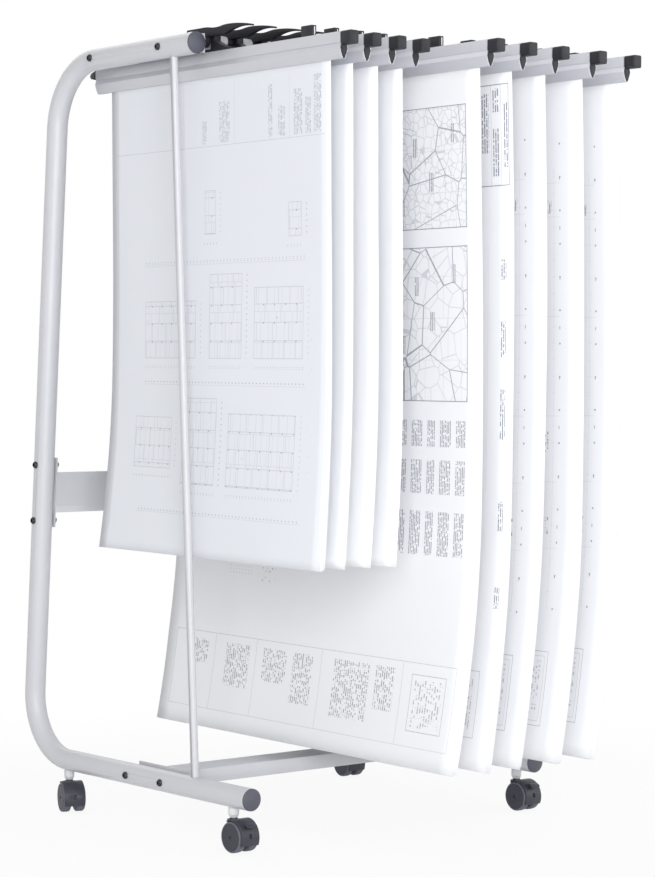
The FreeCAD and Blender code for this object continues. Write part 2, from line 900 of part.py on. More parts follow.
def castor_hood(name, x, y, turn, braked):
    """The castor's body: a web between the wheels, a mudguard over them and a boss round the stem."""
    body = new_body(f"{name}_body")
    outer = HOOD_R + size.hood_wall
    front, rear = size.hood_front_angle, size.hood_rear_angle
    axle_y = -size.castor_trail
    guard = new_sketch(body, f"{name}_guard_outline", SIDE)
    draw(
        guard,
        [
            (axle_y - HOOD_R * cosine(front), AXLE_Z + HOOD_R * sine(front)),
            (axle_y - HOOD_R * cosine(rear), AXLE_Z + HOOD_R * sine(rear), -HOOD_R),
            (axle_y - outer * cosine(rear), AXLE_Z + outer * sine(rear)),
            (axle_y - outer * cosine(front), AXLE_Z + outer * sine(front), outer),
        ],
    )
    width = CASTOR_WIDTH - size.hood_inset * 2
    pad_sketch(body, f"{name}_guard", guard, width, symmetric=True)
    web = new_sketch(body, f"{name}_web_outline", SIDE)
    draw_circle(web, axle_y, AXLE_Z, size.web_radius * 2)
    pad_sketch(body, f"{name}_web", web, size.web_width, symmetric=True)
    neck = new_sketch(body, f"{name}_neck_outline", SIDE)
    spread = HOOD_R + size.hood_wall / 2
    draw(
        neck,
        [
            (axle_y, AXLE_Z),
            (axle_y - spread * cosine(rear), AXLE_Z + spread * sine(rear)),
            (axle_y - spread * cosine(front), AXLE_Z + spread * sine(front), spread),
        ],
    )
    pad_sketch(body, f"{name}_neck", neck, size.web_width, symmetric=True)
    boss = new_sketch(body, f"{name}_boss_outline", PLAN, size.swivel_boss_bottom)
    draw_circle(boss, 0, 0, size.swivel_boss)
    pad_sketch(body, f"{name}_boss", boss, HOOD_TOP - size.neck_height - size.swivel_boss_bottom)
    throat = new_sketch(body, f"{name}_throat_outline", PLAN, size.swivel_boss_bottom)
    draw_circle(throat, 0, 0, size.neck_diameter)
    pad_sketch(body, f"{name}_throat", throat, HOOD_TOP - size.swivel_boss_bottom)
    middle = size.web_width / 2
    for side in (-1, 1):
        room = new_sketch(
            body, f"{name}_room_{'left' if side < 0 else 'right'}", SIDE,
            middle if side > 0 else -middle - size.swivel_boss,
        )
        draw_circle(room, axle_y, AXLE_Z, HOOD_R * 2)
        cut = body.newObject("PartDesign::Pocket", f"{name}_room_cut_{side}")
        cut.Profile = room
        cut.Reversed = True
        bind(cut, "Length", size.swivel_boss)
    bores = new_sketch(body, f"{name}_stem_hole", PLAN, HOOD_TOP)
    draw_circle(bores, 0, 0, size.stem_diameter + size.running_clearance * 2)
    depth = HOOD_TOP - STEM_LOW + size.side_clearance * 2
    pocket(body, f"{name}_stem_bore", bores, depth * 2)
    axle_hole = new_sketch(body, f"{name}_axle_hole", SIDE)
    draw_circle(axle_hole, axle_y, AXLE_Z, size.axle_diameter)
    pocket(body, f"{name}_axle_bore", axle_hole)
    slot = new_sketch(body, f"{name}_slot_outline", FRONT, outer - axle_y)
    reach = size.hood_slot_width / 2
    draw(slot, box_path(-reach, AXLE_Z, reach, AXLE_Z + size.hood_slot_height))
    pocket(body, f"{name}_slot", slot, size.hood_slot_depth * 2)
    axle = cylinder(
        f"{name}_axle", size.axle_diameter, CASTOR_WIDTH - size.wheel_dish, "x",
        -(CASTOR_WIDTH - size.wheel_dish) / 2, axle_y, AXLE_Z,
    )
    pieces = [body, axle]
    if braked:
        add_brake_ears(body, name)
        hinge_y, hinge_z = brake_hinge()
        pin = size.brake_width + size.side_clearance * 2 + size.brake_ear_width * 2
        pieces.append(
            cylinder(f"{name}_pin", size.brake_pin_diameter, pin, "x", -pin / 2, hinge_y, hinge_z)
        )
    bundle = group(name, pieces)
    return swing(bundle, x, y, turn)


def add_brake_ears(body, name):
    """Two ears on the mudguard that hold the brake's hinge pin."""
    hinge_y, hinge_z = brake_hinge()
    inner = size.brake_width / 2 + size.side_clearance
    foot_y = -size.castor_trail - HOOD_R * sine(BRAKE_LEAN)
    foot_z = AXLE_Z + HOOD_R * cosine(BRAKE_LEAN)
    half = size.brake_knuckle / 2
    across, up = half * cosine(BRAKE_LEAN), half * sine(BRAKE_LEAN)
    for hand, start in (("left", -inner - size.brake_ear_width), ("right", inner)):
        pad(
            body, f"{name}_{hand}_ear", SIDE,
            [
                (foot_y - across, foot_z - up),
                (foot_y + across, foot_z + up),
                (hinge_y + across, hinge_z + up),
                (hinge_y - across, hinge_z - up, half + size.seat_gap),
            ],
            size.brake_ear_width, away=start,
        )
    hole = new_sketch(body, f"{name}_pin_hole", SIDE)
    draw_circle(hole, hinge_y, hinge_z, size.brake_pin_diameter)
    pocket(body, f"{name}_pin_bore", hole)


def castor_wheel(name, side, x, y, turn):
    """One of a castor's two wheels, about its axle.  side is -1 for the outer left one and 1 for the right."""
    body = new_body(name)
    inner = size.web_width / 2 + size.side_clearance
    outer = inner + size.wheel_width
    radius = size.wheel_diameter / 2
    bore = size.axle_diameter / 2 + size.running_clearance
    edge = size.wheel_edge
    dish = outer - size.wheel_dish
    rim = radius - edge * 2
    revolve(
        body, f"{name}_turned", PLAN,
        [
            (side * inner, bore),
            (side * inner, radius - edge),
            (side * (inner + edge), radius, edge * -side),
            (side * (outer - edge), radius),
            (side * outer, radius - edge, edge * -side),
            (side * outer, rim),
            (side * dish, rim - size.wheel_dish),
            (side * dish, size.wheel_hub / 2),
            (side * outer, size.wheel_hub / 2 - size.wheel_dish),
            (side * outer, bore),
        ],
        "H_Axis",
    )
    # The wheel is turned about its own axle, which stands in front of the stem.
    across = size.castor_trail
    body.Placement.Rotation = FreeCAD.Rotation(FreeCAD.Vector(0, 0, 1), 1)
    body.setExpression("Placement.Rotation.Angle", turn.text)
    return place(body, x + across * sine(turn), y - across * cosine(turn), AXLE_Z)


def brake_lever(name, x, y, turn):
    """A foot pedal whose knuckle turns on the pin between the mudguard's ears."""
    body = new_body(name)
    hinge_y, hinge_z = brake_hinge()
    knuckle = size.brake_knuckle / 2
    thick = size.brake_thickness
    end = hinge_y - size.brake_length
    drop = size.brake_pad_drop
    pedal = new_sketch(body, f"{name}_side_outline", SIDE)
    draw(
        pedal,
        [
            (hinge_y, hinge_z - knuckle),
            (hinge_y + knuckle, hinge_z, knuckle),
            (hinge_y, hinge_z + knuckle, knuckle),
            (hinge_y - size.brake_length / 2, hinge_z + knuckle),
            (end, hinge_z + knuckle - drop),
            (end, hinge_z + knuckle - drop - thick),
            (hinge_y - size.brake_length / 2, hinge_z + knuckle - thick),
        ],
    )
    draw_circle(pedal, hinge_y, hinge_z, size.brake_pin_diameter + size.running_clearance * 2)
    pad_sketch(body, f"{name}_side", pedal, size.brake_width, symmetric=True)
    return swing(body, x, y, turn)


def brake_hinge():
    """The brake's hinge, from the castor's stem: just clear of the mudguard, ahead of the axle."""
    lift = HOOD_R + size.hood_wall + size.brake_knuckle / 2 + size.side_clearance
    return -size.castor_trail - lift * sine(BRAKE_LEAN), AXLE_Z + lift * cosine(BRAKE_LEAN)


# ---------------------------------------------------------------------------------------- the hangers
def kind_of(number):
    return "small" if number in SMALL_HANGERS else "large"


def rail_ends(number):
    kind = kind_of(number)
    middle = RAIL_Y + cell(f"{kind}_rail_offset")
    half = cell(f"{kind}_rail_length") / 2
    return middle - half, middle + half


def jaw_hinge():
    """The jaw's hinge line, from the rail's top centre: X and Z."""
    across = (size.head_width - size.hinge_bead) / 2 - size.jaw_gap
    return across, -size.head_height - size.hinge_drop


# Angles about the jaw's hinge: where its bead leaves the flange, crosses over and comes back to it, and
# where the claw round the bead ends.
BEAD_START, BEAD_OVER, BEAD_BACK, CLAW_END = 20, 150, 290, 250


def around_hinge(radius, degrees):
    hinge_x, hinge_z = jaw_hinge()
    return hinge_x + radius * cosine(degrees), hinge_z + radius * sine(degrees)


def hanger_rail(name, number, x):
    """The aluminium extrusion: a slotted box head, one fixed clamp flange and the jaw's hinge claw."""
    body = new_body(name)
    front, back = rail_ends(number)
    half = size.head_width / 2
    wall = size.head_wall
    low = -size.head_height
    tip = low - size.jaw_drop
    slot = size.head_slot / 2
    lip = size.stack_thickness / 2 + size.jaw_gap
    thick = size.jaw_wall
    neck = low + wall
    # Under the head the flange starts from a groove and swells out past the head's width.
    groove = size.neck_groove - half
    belly = low - size.jaw_belly
    side = -half - size.jaw_bulge
    hinge_x, hinge_z = jaw_hinge()
    socket = size.hinge_bead / 2 + size.running_clearance
    claw = socket + size.hinge_claw
    rise = low - hinge_z
    pad(
        body, f"{name}_extrusion", FRONT,
        [
            (slot, 0),
            (half, 0),
            (half, low),
            (hinge_x + root_of(socket * socket - rise * rise), low),
            (*around_hinge(socket, BEAD_OVER), socket),
            (*around_hinge(socket, CLAW_END), socket),
            around_hinge(claw, CLAW_END),
            (hinge_x - root_of(claw * claw - rise * rise), low, -claw),
            (groove + thick, low),
            (side + thick, belly),
            (-lip, tip + size.jaw_lip, size.jaw_flank),
            (-lip, tip),
            (-lip - thick, tip),
            (side, belly, -size.jaw_flank),
            (groove, low),
            (-half, low),
            (-half, 0),
            (-slot, 0),
            (-slot, -wall),
            (-half + wall, -wall),
            (-half + wall, neck),
            (half - wall, neck),
            (half - wall, -wall),
            (slot, -wall),
        ],
        back - front, away=-back,
    )
    return place(body, x, 0, HANGER_TOP_Z)


def hanger_jaw(name, number, x):
    """The moving clamp flange, which turns on the bead along its top edge."""
    body = new_body(name)
    front, back = rail_ends(number)
    half = size.head_width / 2
    low = -size.head_height
    bead_r = size.hinge_bead / 2
    tip = low - size.jaw_drop
    lip = size.stack_thickness / 2 + size.jaw_gap
    thick = size.jaw_wall
    pad(
        body, f"{name}_extrusion", FRONT,
        [
            around_hinge(bead_r, BEAD_START),
            (*around_hinge(bead_r, BEAD_OVER), bead_r),
            (*around_hinge(bead_r, BEAD_BACK), bead_r),
            (lip, tip + size.jaw_lip),
            (lip, tip),
            (lip + thick, tip),
            (half + size.jaw_bulge, low - size.jaw_belly, size.jaw_flank),
            (half, low - size.jaw_swing_gap),
        ],
        back - front - size.jaw_gap * 2, away=-back + size.jaw_gap,
    )
    return place(body, x, 0, HANGER_TOP_Z)


def hanger_hook(name, x):
    """The hook: a foot on the head, a stem in front of the rail and a jaw over the rail."""
    body = new_body(name)
    reach = RAIL_R + size.hook_clearance
    axis_z = RAIL_Z - HANGER_TOP_Z
    top = axis_z + reach + size.hook_thickness - size.hook_clearance
    # The jaw's underside slopes with the path that the hanger comes off by.
    tilt = size.lift_angle
    seat_y, seat_z = reach * sine(tilt), axis_z + reach * cosine(tilt)
    end = size.hook_jaw
    end_z = seat_z - (end - seat_y) * sine(tilt) / cosine(tilt)
    front = -reach - size.hook_stem
    foot_front, foot_rear = -size.hook_foot_front, size.hook_foot_rear
    foot_top = size.hook_foot_height
    fillet, corner = size.hook_fillet, size.hook_round
    chamfer = foot_top / 2
    pad(
        body, f"{name}_side", SIDE,
        [
            (foot_front, 0),
            (foot_rear, 0),
            (foot_rear, foot_top - chamfer),
            (foot_rear - chamfer, foot_top),
            (fillet - reach, foot_top),
            (-reach, foot_top + fillet, -fillet),
            (-reach, axis_z),
            (seat_y, seat_z, -reach),
            (end, end_z),
            (end, top - corner / 2),
            (end - corner / 2, top, corner / 2),
            (front + corner, top),
            (front, top - corner, corner),
            (front, size.hook_sweep_top),
            (-size.hook_sweep_foot, foot_top, -size.hook_sweep),
            (foot_front + chamfer, foot_top),
            (foot_front, foot_top - chamfer),
        ],
        size.hook_width, symmetric=True,
    )
    tongue = box_path(foot_front + fillet, -size.hook_tongue, foot_rear - fillet, 0)
    pad(
        body, f"{name}_tongue", SIDE, tongue, size.head_slot - size.seat_gap * 2, symmetric=True
    )
    return place(body, x, RAIL_Y, HANGER_TOP_Z)


def front_end(name, number, x):
    """The front end cap: a pointed plug in the extrusion's end and a block handle to pull by."""
    body = new_body(name)
    front, back = rail_ends(number)
    inset = size.end_plate_inset
    neck = size.head_width / 2 - size.neck_groove - inset
    wide = size.head_width / 2 + size.jaw_bulge - inset
    low = -size.head_height
    belly = low - size.jaw_belly
    tip = low - size.jaw_drop + size.end_plate_tip_gap
    point = size.end_plate_point
    pad(
        body, f"{name}_plate", FRONT,
        [
            (-neck, -inset),
            (-neck, low),
            (-wide, belly),
            (-point, tip, size.jaw_flank),
            (point, tip),
            (wide, belly, size.jaw_flank),
            (neck, low),
            (neck, -inset),
        ],
        size.end_plate,
    )
    left = size.handle_offset - size.handle_width / 2
    right = size.handle_offset + size.handle_width / 2
    corner = size.handle_round
    under, over = -size.handle_below, size.handle_above
    pad(
        body, f"{name}_handle", FRONT,
        [
            (left + corner, under),
            (right - corner, under),
            (right, under + corner, corner),
            (right, over - corner),
            (right - corner, over, corner),
            (left + corner, over),
            (left, over - corner, corner),
            (left, under + corner),
        ],
        size.handle_length, away=size.end_plate,
    )
    return place(body, x, front, HANGER_TOP_Z)


def rear_end(name, number, x):
    """The rear end cap, tapering backwards."""
    front, back = rail_ends(number)
    body = new_body(name)
    half = size.head_width / 2
    taper = size.rear_cap_taper
    far = size.rear_cap_length
    low = -size.head_height
    pad(
        body, f"{name}_block", SIDE,
        [
            (0, low),
            (far - taper, low + taper),
            (far, low + taper * 2),
            (far, -taper * 2),
            (far - taper, -taper),
            (0, 0),
        ],
        size.head_width, symmetric=True,
    )
    trim = new_sketch(body, f"{name}_plan", PLAN)
    for side in (-1, 1):
        draw(
            trim,
            [
                (half * side, 0),
                ((half - taper) * side, far),
                ((half + taper) * side, far + taper),
                ((half + taper) * side, 0),
            ],
        )
    pocket(body, f"{name}_taper", trim)
    return place(body, x, back, HANGER_TOP_Z)


def index_block(name, number, x):
    """The index holder on top of the head, with a shallow recess in front for its card."""
    body = new_body(name)
    front, back = rail_ends(number)
    half = size.index_width / 2
    high = size.index_height
    wall = size.index_wall
    edge = wall
    pad(
        body, f"{name}_side", SIDE,
        [
            (0, 0),
            (size.index_length, 0),
            (size.index_length, high - edge),
            (size.index_length - edge, high, edge),
            (0, high),
        ],
        size.index_width, symmetric=True,
    )
    recess = new_sketch(body, f"{name}_recess_outline", FRONT)
    draw(recess, box_path(wall * 2 - half, wall, half - wall, high - wall))
    pocket(body, f"{name}_recess", recess, size.index_recess * 2)
    setback = cell(f"{kind_of(number)}_index_setback")
    return place(body, x, front + setback - size.index_length, HANGER_TOP_Z)


# Down a hanging sheet: the share of its height, then how much of its bulge and of its curl it has there.
SHEET_LINE = ((0, 0, 0), (0.04, 0, 0), (0.4, 0.55, 0), (0.72, 1, 0), (0.88, 0.2, 0.15), (1, 0, 1))


def sheet_stack(name, number, x):
    """A clamped stack of prints: straight from the jaws, then a slow swell and a curl at the hem."""
    kind = kind_of(number)
    width = SIZES[f"{kind}_sheet_width"]
    height = SIZES[f"{kind}_sheet_height"]
    bulge = SIZES[f"{kind}_sheet_bulge"]
    curl = SIZES[f"{kind}_sheet_curl"]
    half = SIZES["stack_thickness"] / 2
    top = JAW_TIP_Z.value + SIZES["grip_depth"]
    middle = RAIL_Y.value + SIZES[f"{kind}_sheet_offset"]
    points = [
        FreeCAD.Vector(bulge * swell - curl * turn, 0, top - height * down)
        for down, swell, turn in SHEET_LINE
    ]
    curve = Part.BSplineCurve()
    curve.interpolate(points)
    shorter = height / curve.length()
    points = [FreeCAD.Vector(p.x, 0, top + (p.z - top) * shorter) for p in points]
    faces = []
    for side in (-half, half):
        shifted = Part.BSplineCurve()
        shifted.interpolate([p + FreeCAD.Vector(side, 0, 0) for p in points])
        faces.append(shifted.toShape())
    ends = [
        Part.makeLine(faces[0].Vertexes[i].Point, faces[1].Vertexes[i].Point) for i in (0, 1)
    ]
    outline = Part.Wire(Part.__sortEdges__([faces[0], ends[1], faces[1], ends[0]]))
    solid = Part.Face(outline).extrude(FreeCAD.Vector(0, width, 0))
    stack = doc.addObject("Part::Feature", name)
    stack.Label = name
    stack.Shape = solid
    stack.Placement.Base = FreeCAD.Vector(x.value, middle - width / 2, 0)
    return stack


# ------------------------------------------------------------------------------------------- the build
def build():
    """Makes every node's object and returns them by name."""
    nodes = {}

    def keep(thing):
        nodes[thing.Label] = thing

    sides = (("left", -1), ("right", 1))
    for hand, sign in sides:
        keep(side_frame(f"{hand}_side_frame", SIDE_X * sign))
    keep(group("stay_rods", [stay_rod(f"{hand}_stay", SIDE_X * sign) for hand, sign in sides]))
    caps = []
    for hand, sign in sides:
        x = SIDE_X * sign
        caps.append(end_cap(f"{hand}_top_cap", x, RAIL_Y - size.top_arm_reach, TOP_Z))
        caps.append(end_cap(f"{hand}_bottom_cap", x, RAIL_Y - size.bottom_arm_reach, BOTTOM_Z))
    keep(group("tube_end_caps", caps))
    keep(top_panel())
    keep(mid_brace())
    keep(bottom_brace())
    fasteners = []
    for hand, sign in sides:
        for i, (y, z) in enumerate(bolt_places()):
            fasteners.append(frame_bolt(f"{hand}_bolt_{i + 1}", sign, y, z))
            fasteners.append(frame_nut(f"{hand}_nut_{i + 1}", sign, y, z))
    keep(group("frame_bolts", fasteners))
    numbers = SMALL_HANGERS + LARGE_HANGERS
    keep(group("finger_arms", [finger_arm(f"finger_{n}", cell(f"hanger_place_{n}")) for n in numbers]))
    sockets = []
    for corner, (x, y, turn) in castor_places().items():
        sockets += castor_socket(f"{corner}_socket", x, y)
        braked = corner.startswith("front")
        keep(castor_hood(f"{corner}_castor_hood", x, y, turn, braked))
        keep(castor_wheel(f"{corner}_left_wheel", -1, x, y, turn))
        keep(castor_wheel(f"{corner}_right_wheel", 1, x, y, turn))
        if braked:
            keep(brake_lever(f"{corner}_brake_lever", x, y, turn))
    keep(group("castor_sockets", sockets))
    for n in numbers:
        x = cell(f"hanger_place_{n}")
        keep(hanger_rail(f"hanger_{n}_rail", n, x))
        keep(hanger_jaw(f"hanger_{n}_jaw", n, x))
        fittings = [
            hanger_hook(f"hanger_{n}_hook", x),
            front_end(f"hanger_{n}_front_end", n, x),
            rear_end(f"hanger_{n}_rear_end", n, x),
            index_block(f"hanger_{n}_index", n, x),
        ]
        keep(group(f"hanger_{n}_fittings", fittings))
        keep(sheet_stack(f"hanger_{n}_sheets", n, x))
    return nodes


def main():
    nodes = build()
    doc.recompute()
    for thing in doc.Objects:
        if "Invalid" in thing.State or "Error" in thing.State:
            raise RuntimeError(f"{thing.Name} ({thing.TypeId}) did not recompute: {thing.State}")
    os.makedirs("parts", exist_ok=True)
    for name, thing in nodes.items():
        if thing.Shape.isNull() or not thing.Shape.isValid():
            raise RuntimeError(f"{name} has no valid shape")
    for name, thing in nodes.items():
        thing.Shape.exportStep(os.path.join("parts", f"{name}.step"))
    print(f"{len(nodes)} nodes written")


main()
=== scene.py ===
"""Dresses the plan hanging rack: painted frame, moulded fittings, aluminium hangers and hung prints."""

import json
import math
import random

import bmesh
import bpy
from mathutils import Euler, Matrix, Vector


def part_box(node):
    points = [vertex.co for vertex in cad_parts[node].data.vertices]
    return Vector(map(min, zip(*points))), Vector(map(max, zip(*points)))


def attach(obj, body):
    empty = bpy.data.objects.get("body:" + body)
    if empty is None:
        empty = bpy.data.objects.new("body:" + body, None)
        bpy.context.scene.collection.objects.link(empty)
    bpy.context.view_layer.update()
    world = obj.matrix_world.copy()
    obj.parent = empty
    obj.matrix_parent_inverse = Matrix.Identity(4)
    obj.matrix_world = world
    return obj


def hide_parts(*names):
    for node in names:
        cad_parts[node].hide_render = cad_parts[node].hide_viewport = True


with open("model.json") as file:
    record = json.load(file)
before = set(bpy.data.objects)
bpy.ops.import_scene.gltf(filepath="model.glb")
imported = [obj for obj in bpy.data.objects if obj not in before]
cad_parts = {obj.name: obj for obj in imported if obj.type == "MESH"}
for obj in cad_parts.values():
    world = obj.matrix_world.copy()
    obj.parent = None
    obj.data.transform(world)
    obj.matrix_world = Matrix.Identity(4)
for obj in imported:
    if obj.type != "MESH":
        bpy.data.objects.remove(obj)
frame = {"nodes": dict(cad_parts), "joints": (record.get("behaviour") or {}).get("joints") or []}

bl_info = {
    "name": "Plan Hanging Rack",
    "version": (1, 0, 0),
    "blender": (4, 5, 0),
    "location": "View3D > Sidebar > Rack",
    "description": "Finishes and details a front-loading plan hanging rack around its packed frame",
    "category": "Object",
}

NODES = frame["nodes"]
# The hangers' numbers, from the left.
SMALL = (1, 2, 3, 4)
LARGE = (5, 6, 7, 8, 9)
CORNERS = ("front_left", "front_right", "rear_left", "rear_right")
MM = 0.001


def kind_of(number):
    """Whether a hanger is a small or a large one."""
    return "small" if number in SMALL else "large"


# ------------------------------------------------------------------------------------ settings
class RackColours(bpy.types.PropertyGroup):
    """The finishes that a user would change."""

    paint: bpy.props.FloatVectorProperty(
        name="Frame paint", description="Powder coat on the tubes and panels",
        subtype="COLOR", size=3, min=0, max=1, default=(0.61, 0.615, 0.65),
    )
    moulding: bpy.props.FloatVectorProperty(
        name="Moulded parts", description="Caps, handles, hooks and castors",
        subtype="COLOR", size=3, min=0, max=1, default=(0.056, 0.058, 0.076),
    )
    finger: bpy.props.FloatVectorProperty(
        name="Fingers", description="The moulded fingers on the top panel",
        subtype="COLOR", size=3, min=0, max=1, default=(0.014, 0.014, 0.021),
    )
    aluminium: bpy.props.FloatVectorProperty(
        name="Aluminium", description="The hangers' extrusions",
        subtype="COLOR", size=3, min=0, max=1, default=(0.75, 0.755, 0.80),
    )
    paper: bpy.props.FloatVectorProperty(
        name="Paper", description="The prints' paper",
        subtype="COLOR", size=3, min=0, max=1, default=(0.915, 0.925, 0.95),
    )
    ink: bpy.props.FloatVectorProperty(
        name="Ink", description="The prints' line work",
        subtype="COLOR", size=3, min=0, max=1, default=(0.20, 0.21, 0.27),
    )


class RackPrints(bpy.types.PropertyGroup):
    """How the bundles of prints hang."""

    thickness: bpy.props.FloatProperty(
        name="Paper thickness", description="Thickness of one print",
        default=0.2 * MM, min=0.05 * MM, max=1 * MM, unit="LENGTH",
    )
    spread: bpy.props.FloatProperty(
        name="Hem spread", description="How far a bundle's outer prints part at the hem",
        default=7 * MM, min=0, max=30 * MM, unit="LENGTH",
    )
    wave: bpy.props.FloatProperty(
        name="Wave", description="Height of the slow waves in a hung print",
        default=1.6 * MM, min=0, max=10 * MM, unit="LENGTH",
    )


class RackStage(bpy.types.PropertyGroup):
    """The plain studio round the rack."""

    lamp: bpy.props.FloatProperty(
        name="Lamp power", description="Power of the large lamp in front",
        default=164, min=0, unit="POWER",
    )
    fill: bpy.props.FloatProperty(
        name="World strength", description="Strength of the even light from all round",
        default=0.525, min=0,
    )
    floor: bpy.props.FloatVectorProperty(
        name="Floor", description="Colour of the floor",
        subtype="COLOR", size=3, min=0, max=1, default=(0.93, 0.93, 0.93),
    )
    shadow: bpy.props.FloatProperty(
        name="Shadow", description="How much of the object's shadow the floor shows",
        default=0.10, min=0, max=1,
    )


# ------------------------------------------------------------------------------- shader maths
class Field:
    """A value over a surface: one output of a finish's nodes, on which sums can be written."""

    def __init__(self, finish, socket):
        self.finish = finish
        self.socket = socket

    def sum(self, operation, *others):
        """One Math node on this value and the others."""
        return self.finish.node(
            "ShaderNodeMath", {"operation": operation}, dict(enumerate((self, *others)))
        )

    def __add__(self, other):
        return self.sum("ADD", other)

    def __sub__(self, other):
        return self.sum("SUBTRACT", other)

    def __mul__(self, other):
        return self.sum("MULTIPLY", other)

    def __truediv__(self, other):
        return self.sum("DIVIDE", other)

    def __mod__(self, other):
        return self.sum("FLOORED_MODULO", other)

    def __lt__(self, other):
        return self.sum("LESS_THAN", other)

    def __gt__(self, other):
        return self.sum("GREATER_THAN", other)

    def __radd__(self, other):
        return self + other

    def __rmul__(self, other):
        return self * other

    def __rsub__(self, other):
        return self * -1 + other

    def __abs__(self):
        return self.sum("ABSOLUTE")

    def __or__(self, other):
        return self.sum("MAXIMUM", other)

    def floor(self):
        return self.sum("FLOOR")

    def within(self, low, high):
        """1 from low to high, and 0 elsewhere."""
        return (self > low) * (self < high)


class Nodes:
    """The nodes of a material or of the world."""

    def __init__(self, owner):
        owner.use_nodes = True
        self.tree = owner.node_tree

    def node(self, kind, settings=None, sockets=None, out=0):
        """One node: its settings first, then the values or links of its sockets."""
        made = self.tree.nodes.new(kind)
        for key, value in (settings or {}).items():
            setattr(made, key, value)
        for key, value in (sockets or {}).items():
            if isinstance(value, Field):
                self.tree.links.new(value.socket, made.inputs[key])
            else:
                made.inputs[key].default_value = value
        return Field(self, made.outputs[out])

    def backdrop_rays(self):
        """1 for the rays that see the backdrop: straight on, mirrored or through glass."""
        path = self.node("ShaderNodeLightPath")
        seen = path.socket.node.outputs
        return path | Field(self, seen["Is Glossy Ray"]) | Field(self, seen["Is Transmission Ray"])

    def finish_with(self, output, value):
        """Links a shader to the named output."""
        self.tree.links.new(value.socket, self.tree.nodes[output].inputs["Surface"])


class Finish(Nodes):
    """A procedural material, built on one Principled shader."""

    def __init__(self, name, **constants):
        self.material = bpy.data.materials.new(name)
        super().__init__(self.material)
        self.shader = self.tree.nodes["Principled BSDF"]
        for socket, value in constants.items():
            self.shader.inputs[socket.replace("_", " ")].default_value = value

    def feed(self, socket, value):
        """Links a value to one of the shader's sockets."""
        self.tree.links.new(value.socket, self.shader.inputs[socket])

    def place(self, stretch=(1, 1, 1)):
        """Object coordinates, stretched along each axis."""
        spot = self.node("ShaderNodeTexCoord", out=3)
        return self.node("ShaderNodeMapping", None, {"Vector": spot, "Scale": stretch})

    def noise(self, vector, scale, detail=2.0, rough=0.5):
        """Soft noise from 0 to 1."""
        return self.node(
            "ShaderNodeTexNoise", None,
            {"Vector": vector, "Scale": scale, "Detail": detail, "Roughness": rough},
        )

    def mix(self, factor, first, second):
        """A colour that goes from first, a colour or a field, to second, a colour."""
        start = (*first, 1) if isinstance(first, tuple) else first
        colours = {0: factor, 6: start, 7: (*second, 1)}
        return self.node("ShaderNodeMix", {"data_type": "RGBA"}, colours, out=2)

    def bump(self, height, distance, strength):
        """Tilts the surface by a height."""
        tilt = self.node(
            "ShaderNodeBump", None, {"Strength": strength, "Distance": distance, "Height": height}
        )
        self.feed("Normal", tilt)


def shade(colour, factor):
    """A lighter or darker tone of a colour."""
    return tuple(min(1, part * factor) for part in colour)


# ------------------------------------------------------------------------------------ finishes
def powder_coat(colour):
    """Satin powder coat: a fine orange peel and a faint change of tone."""
    coat = Finish("powder_coat", Coat_Weight=0.25, Coat_Roughness=0.25)
    place = coat.place()
    peel = coat.noise(place, 420, 3)
    cloud = coat.noise(place, 5, 2)
    coat.feed("Base Color", coat.mix(cloud, shade(colour, 0.97), shade(colour, 1.02)))
    coat.feed("Roughness", peel * 0.12 + 0.34)
    coat.bump(peel, 0.12 * MM, 0.35)
    return coat.material


def moulded(name, colour, gloss=0.46, sheen=0.5):
    """Moulded plastic with a spark-eroded grain and slightly polished high spots."""
    skin = Finish(name, Specular_IOR_Level=sheen)
    place = skin.place()
    spark = skin.noise(place, 900, 3, 0.6)
    cloud = skin.noise(place, 30, 2)
    skin.feed("Base Color", skin.mix(cloud * 0.7 + spark * 0.3, shade(colour, 0.8), shade(colour, 1.25)))
    skin.feed("Roughness", spark * 0.16 + gloss)
    skin.bump(spark, 0.15 * MM, 0.4)
    return skin.material


def anodised(name, colour):
    """Extruded aluminium, satin anodised, with die lines along its length."""
    skin = Finish(name, Metallic=0.6)
    lines = skin.noise(skin.place((1, 0.004, 1)), 1500, 3, 0.6)
    cloud = skin.noise(skin.place(), 12, 2)
    skin.feed("Base Color", skin.mix(lines * 0.6 + cloud * 0.4, shade(colour, 0.9), shade(colour, 1.08)))
    skin.feed("Roughness", lines * 0.14 + 0.36)
    skin.bump(lines, 0.05 * MM, 0.3)
    return skin.material


def blackened_steel():
    """Blackened bolt steel, a little brighter where tools touch it."""
    skin = Finish("blackened_steel", Metallic=0.6)
    spots = skin.noise(skin.place(), 600, 4, 0.6)
    skin.feed("Base Color", skin.mix(spots, (0.022, 0.022, 0.024), (0.06, 0.06, 0.064)))
    skin.feed("Roughness", spots * 0.2 + 0.32)
    skin.bump(spots, 0.05 * MM, 0.3)
    return skin.material


def card_stock():
    """White index card with a faint fibre."""
    skin = Finish("index_card")
    fibre = skin.noise(skin.place(), 1100, 4, 0.7)
    skin.feed("Base Color", skin.mix(fibre, (0.80, 0.80, 0.79), (0.90, 0.90, 0.90)))
    skin.feed("Roughness", fibre * 0.1 + 0.62)
    skin.bump(fibre, 0.05 * MM, 0.3)
    return skin.material


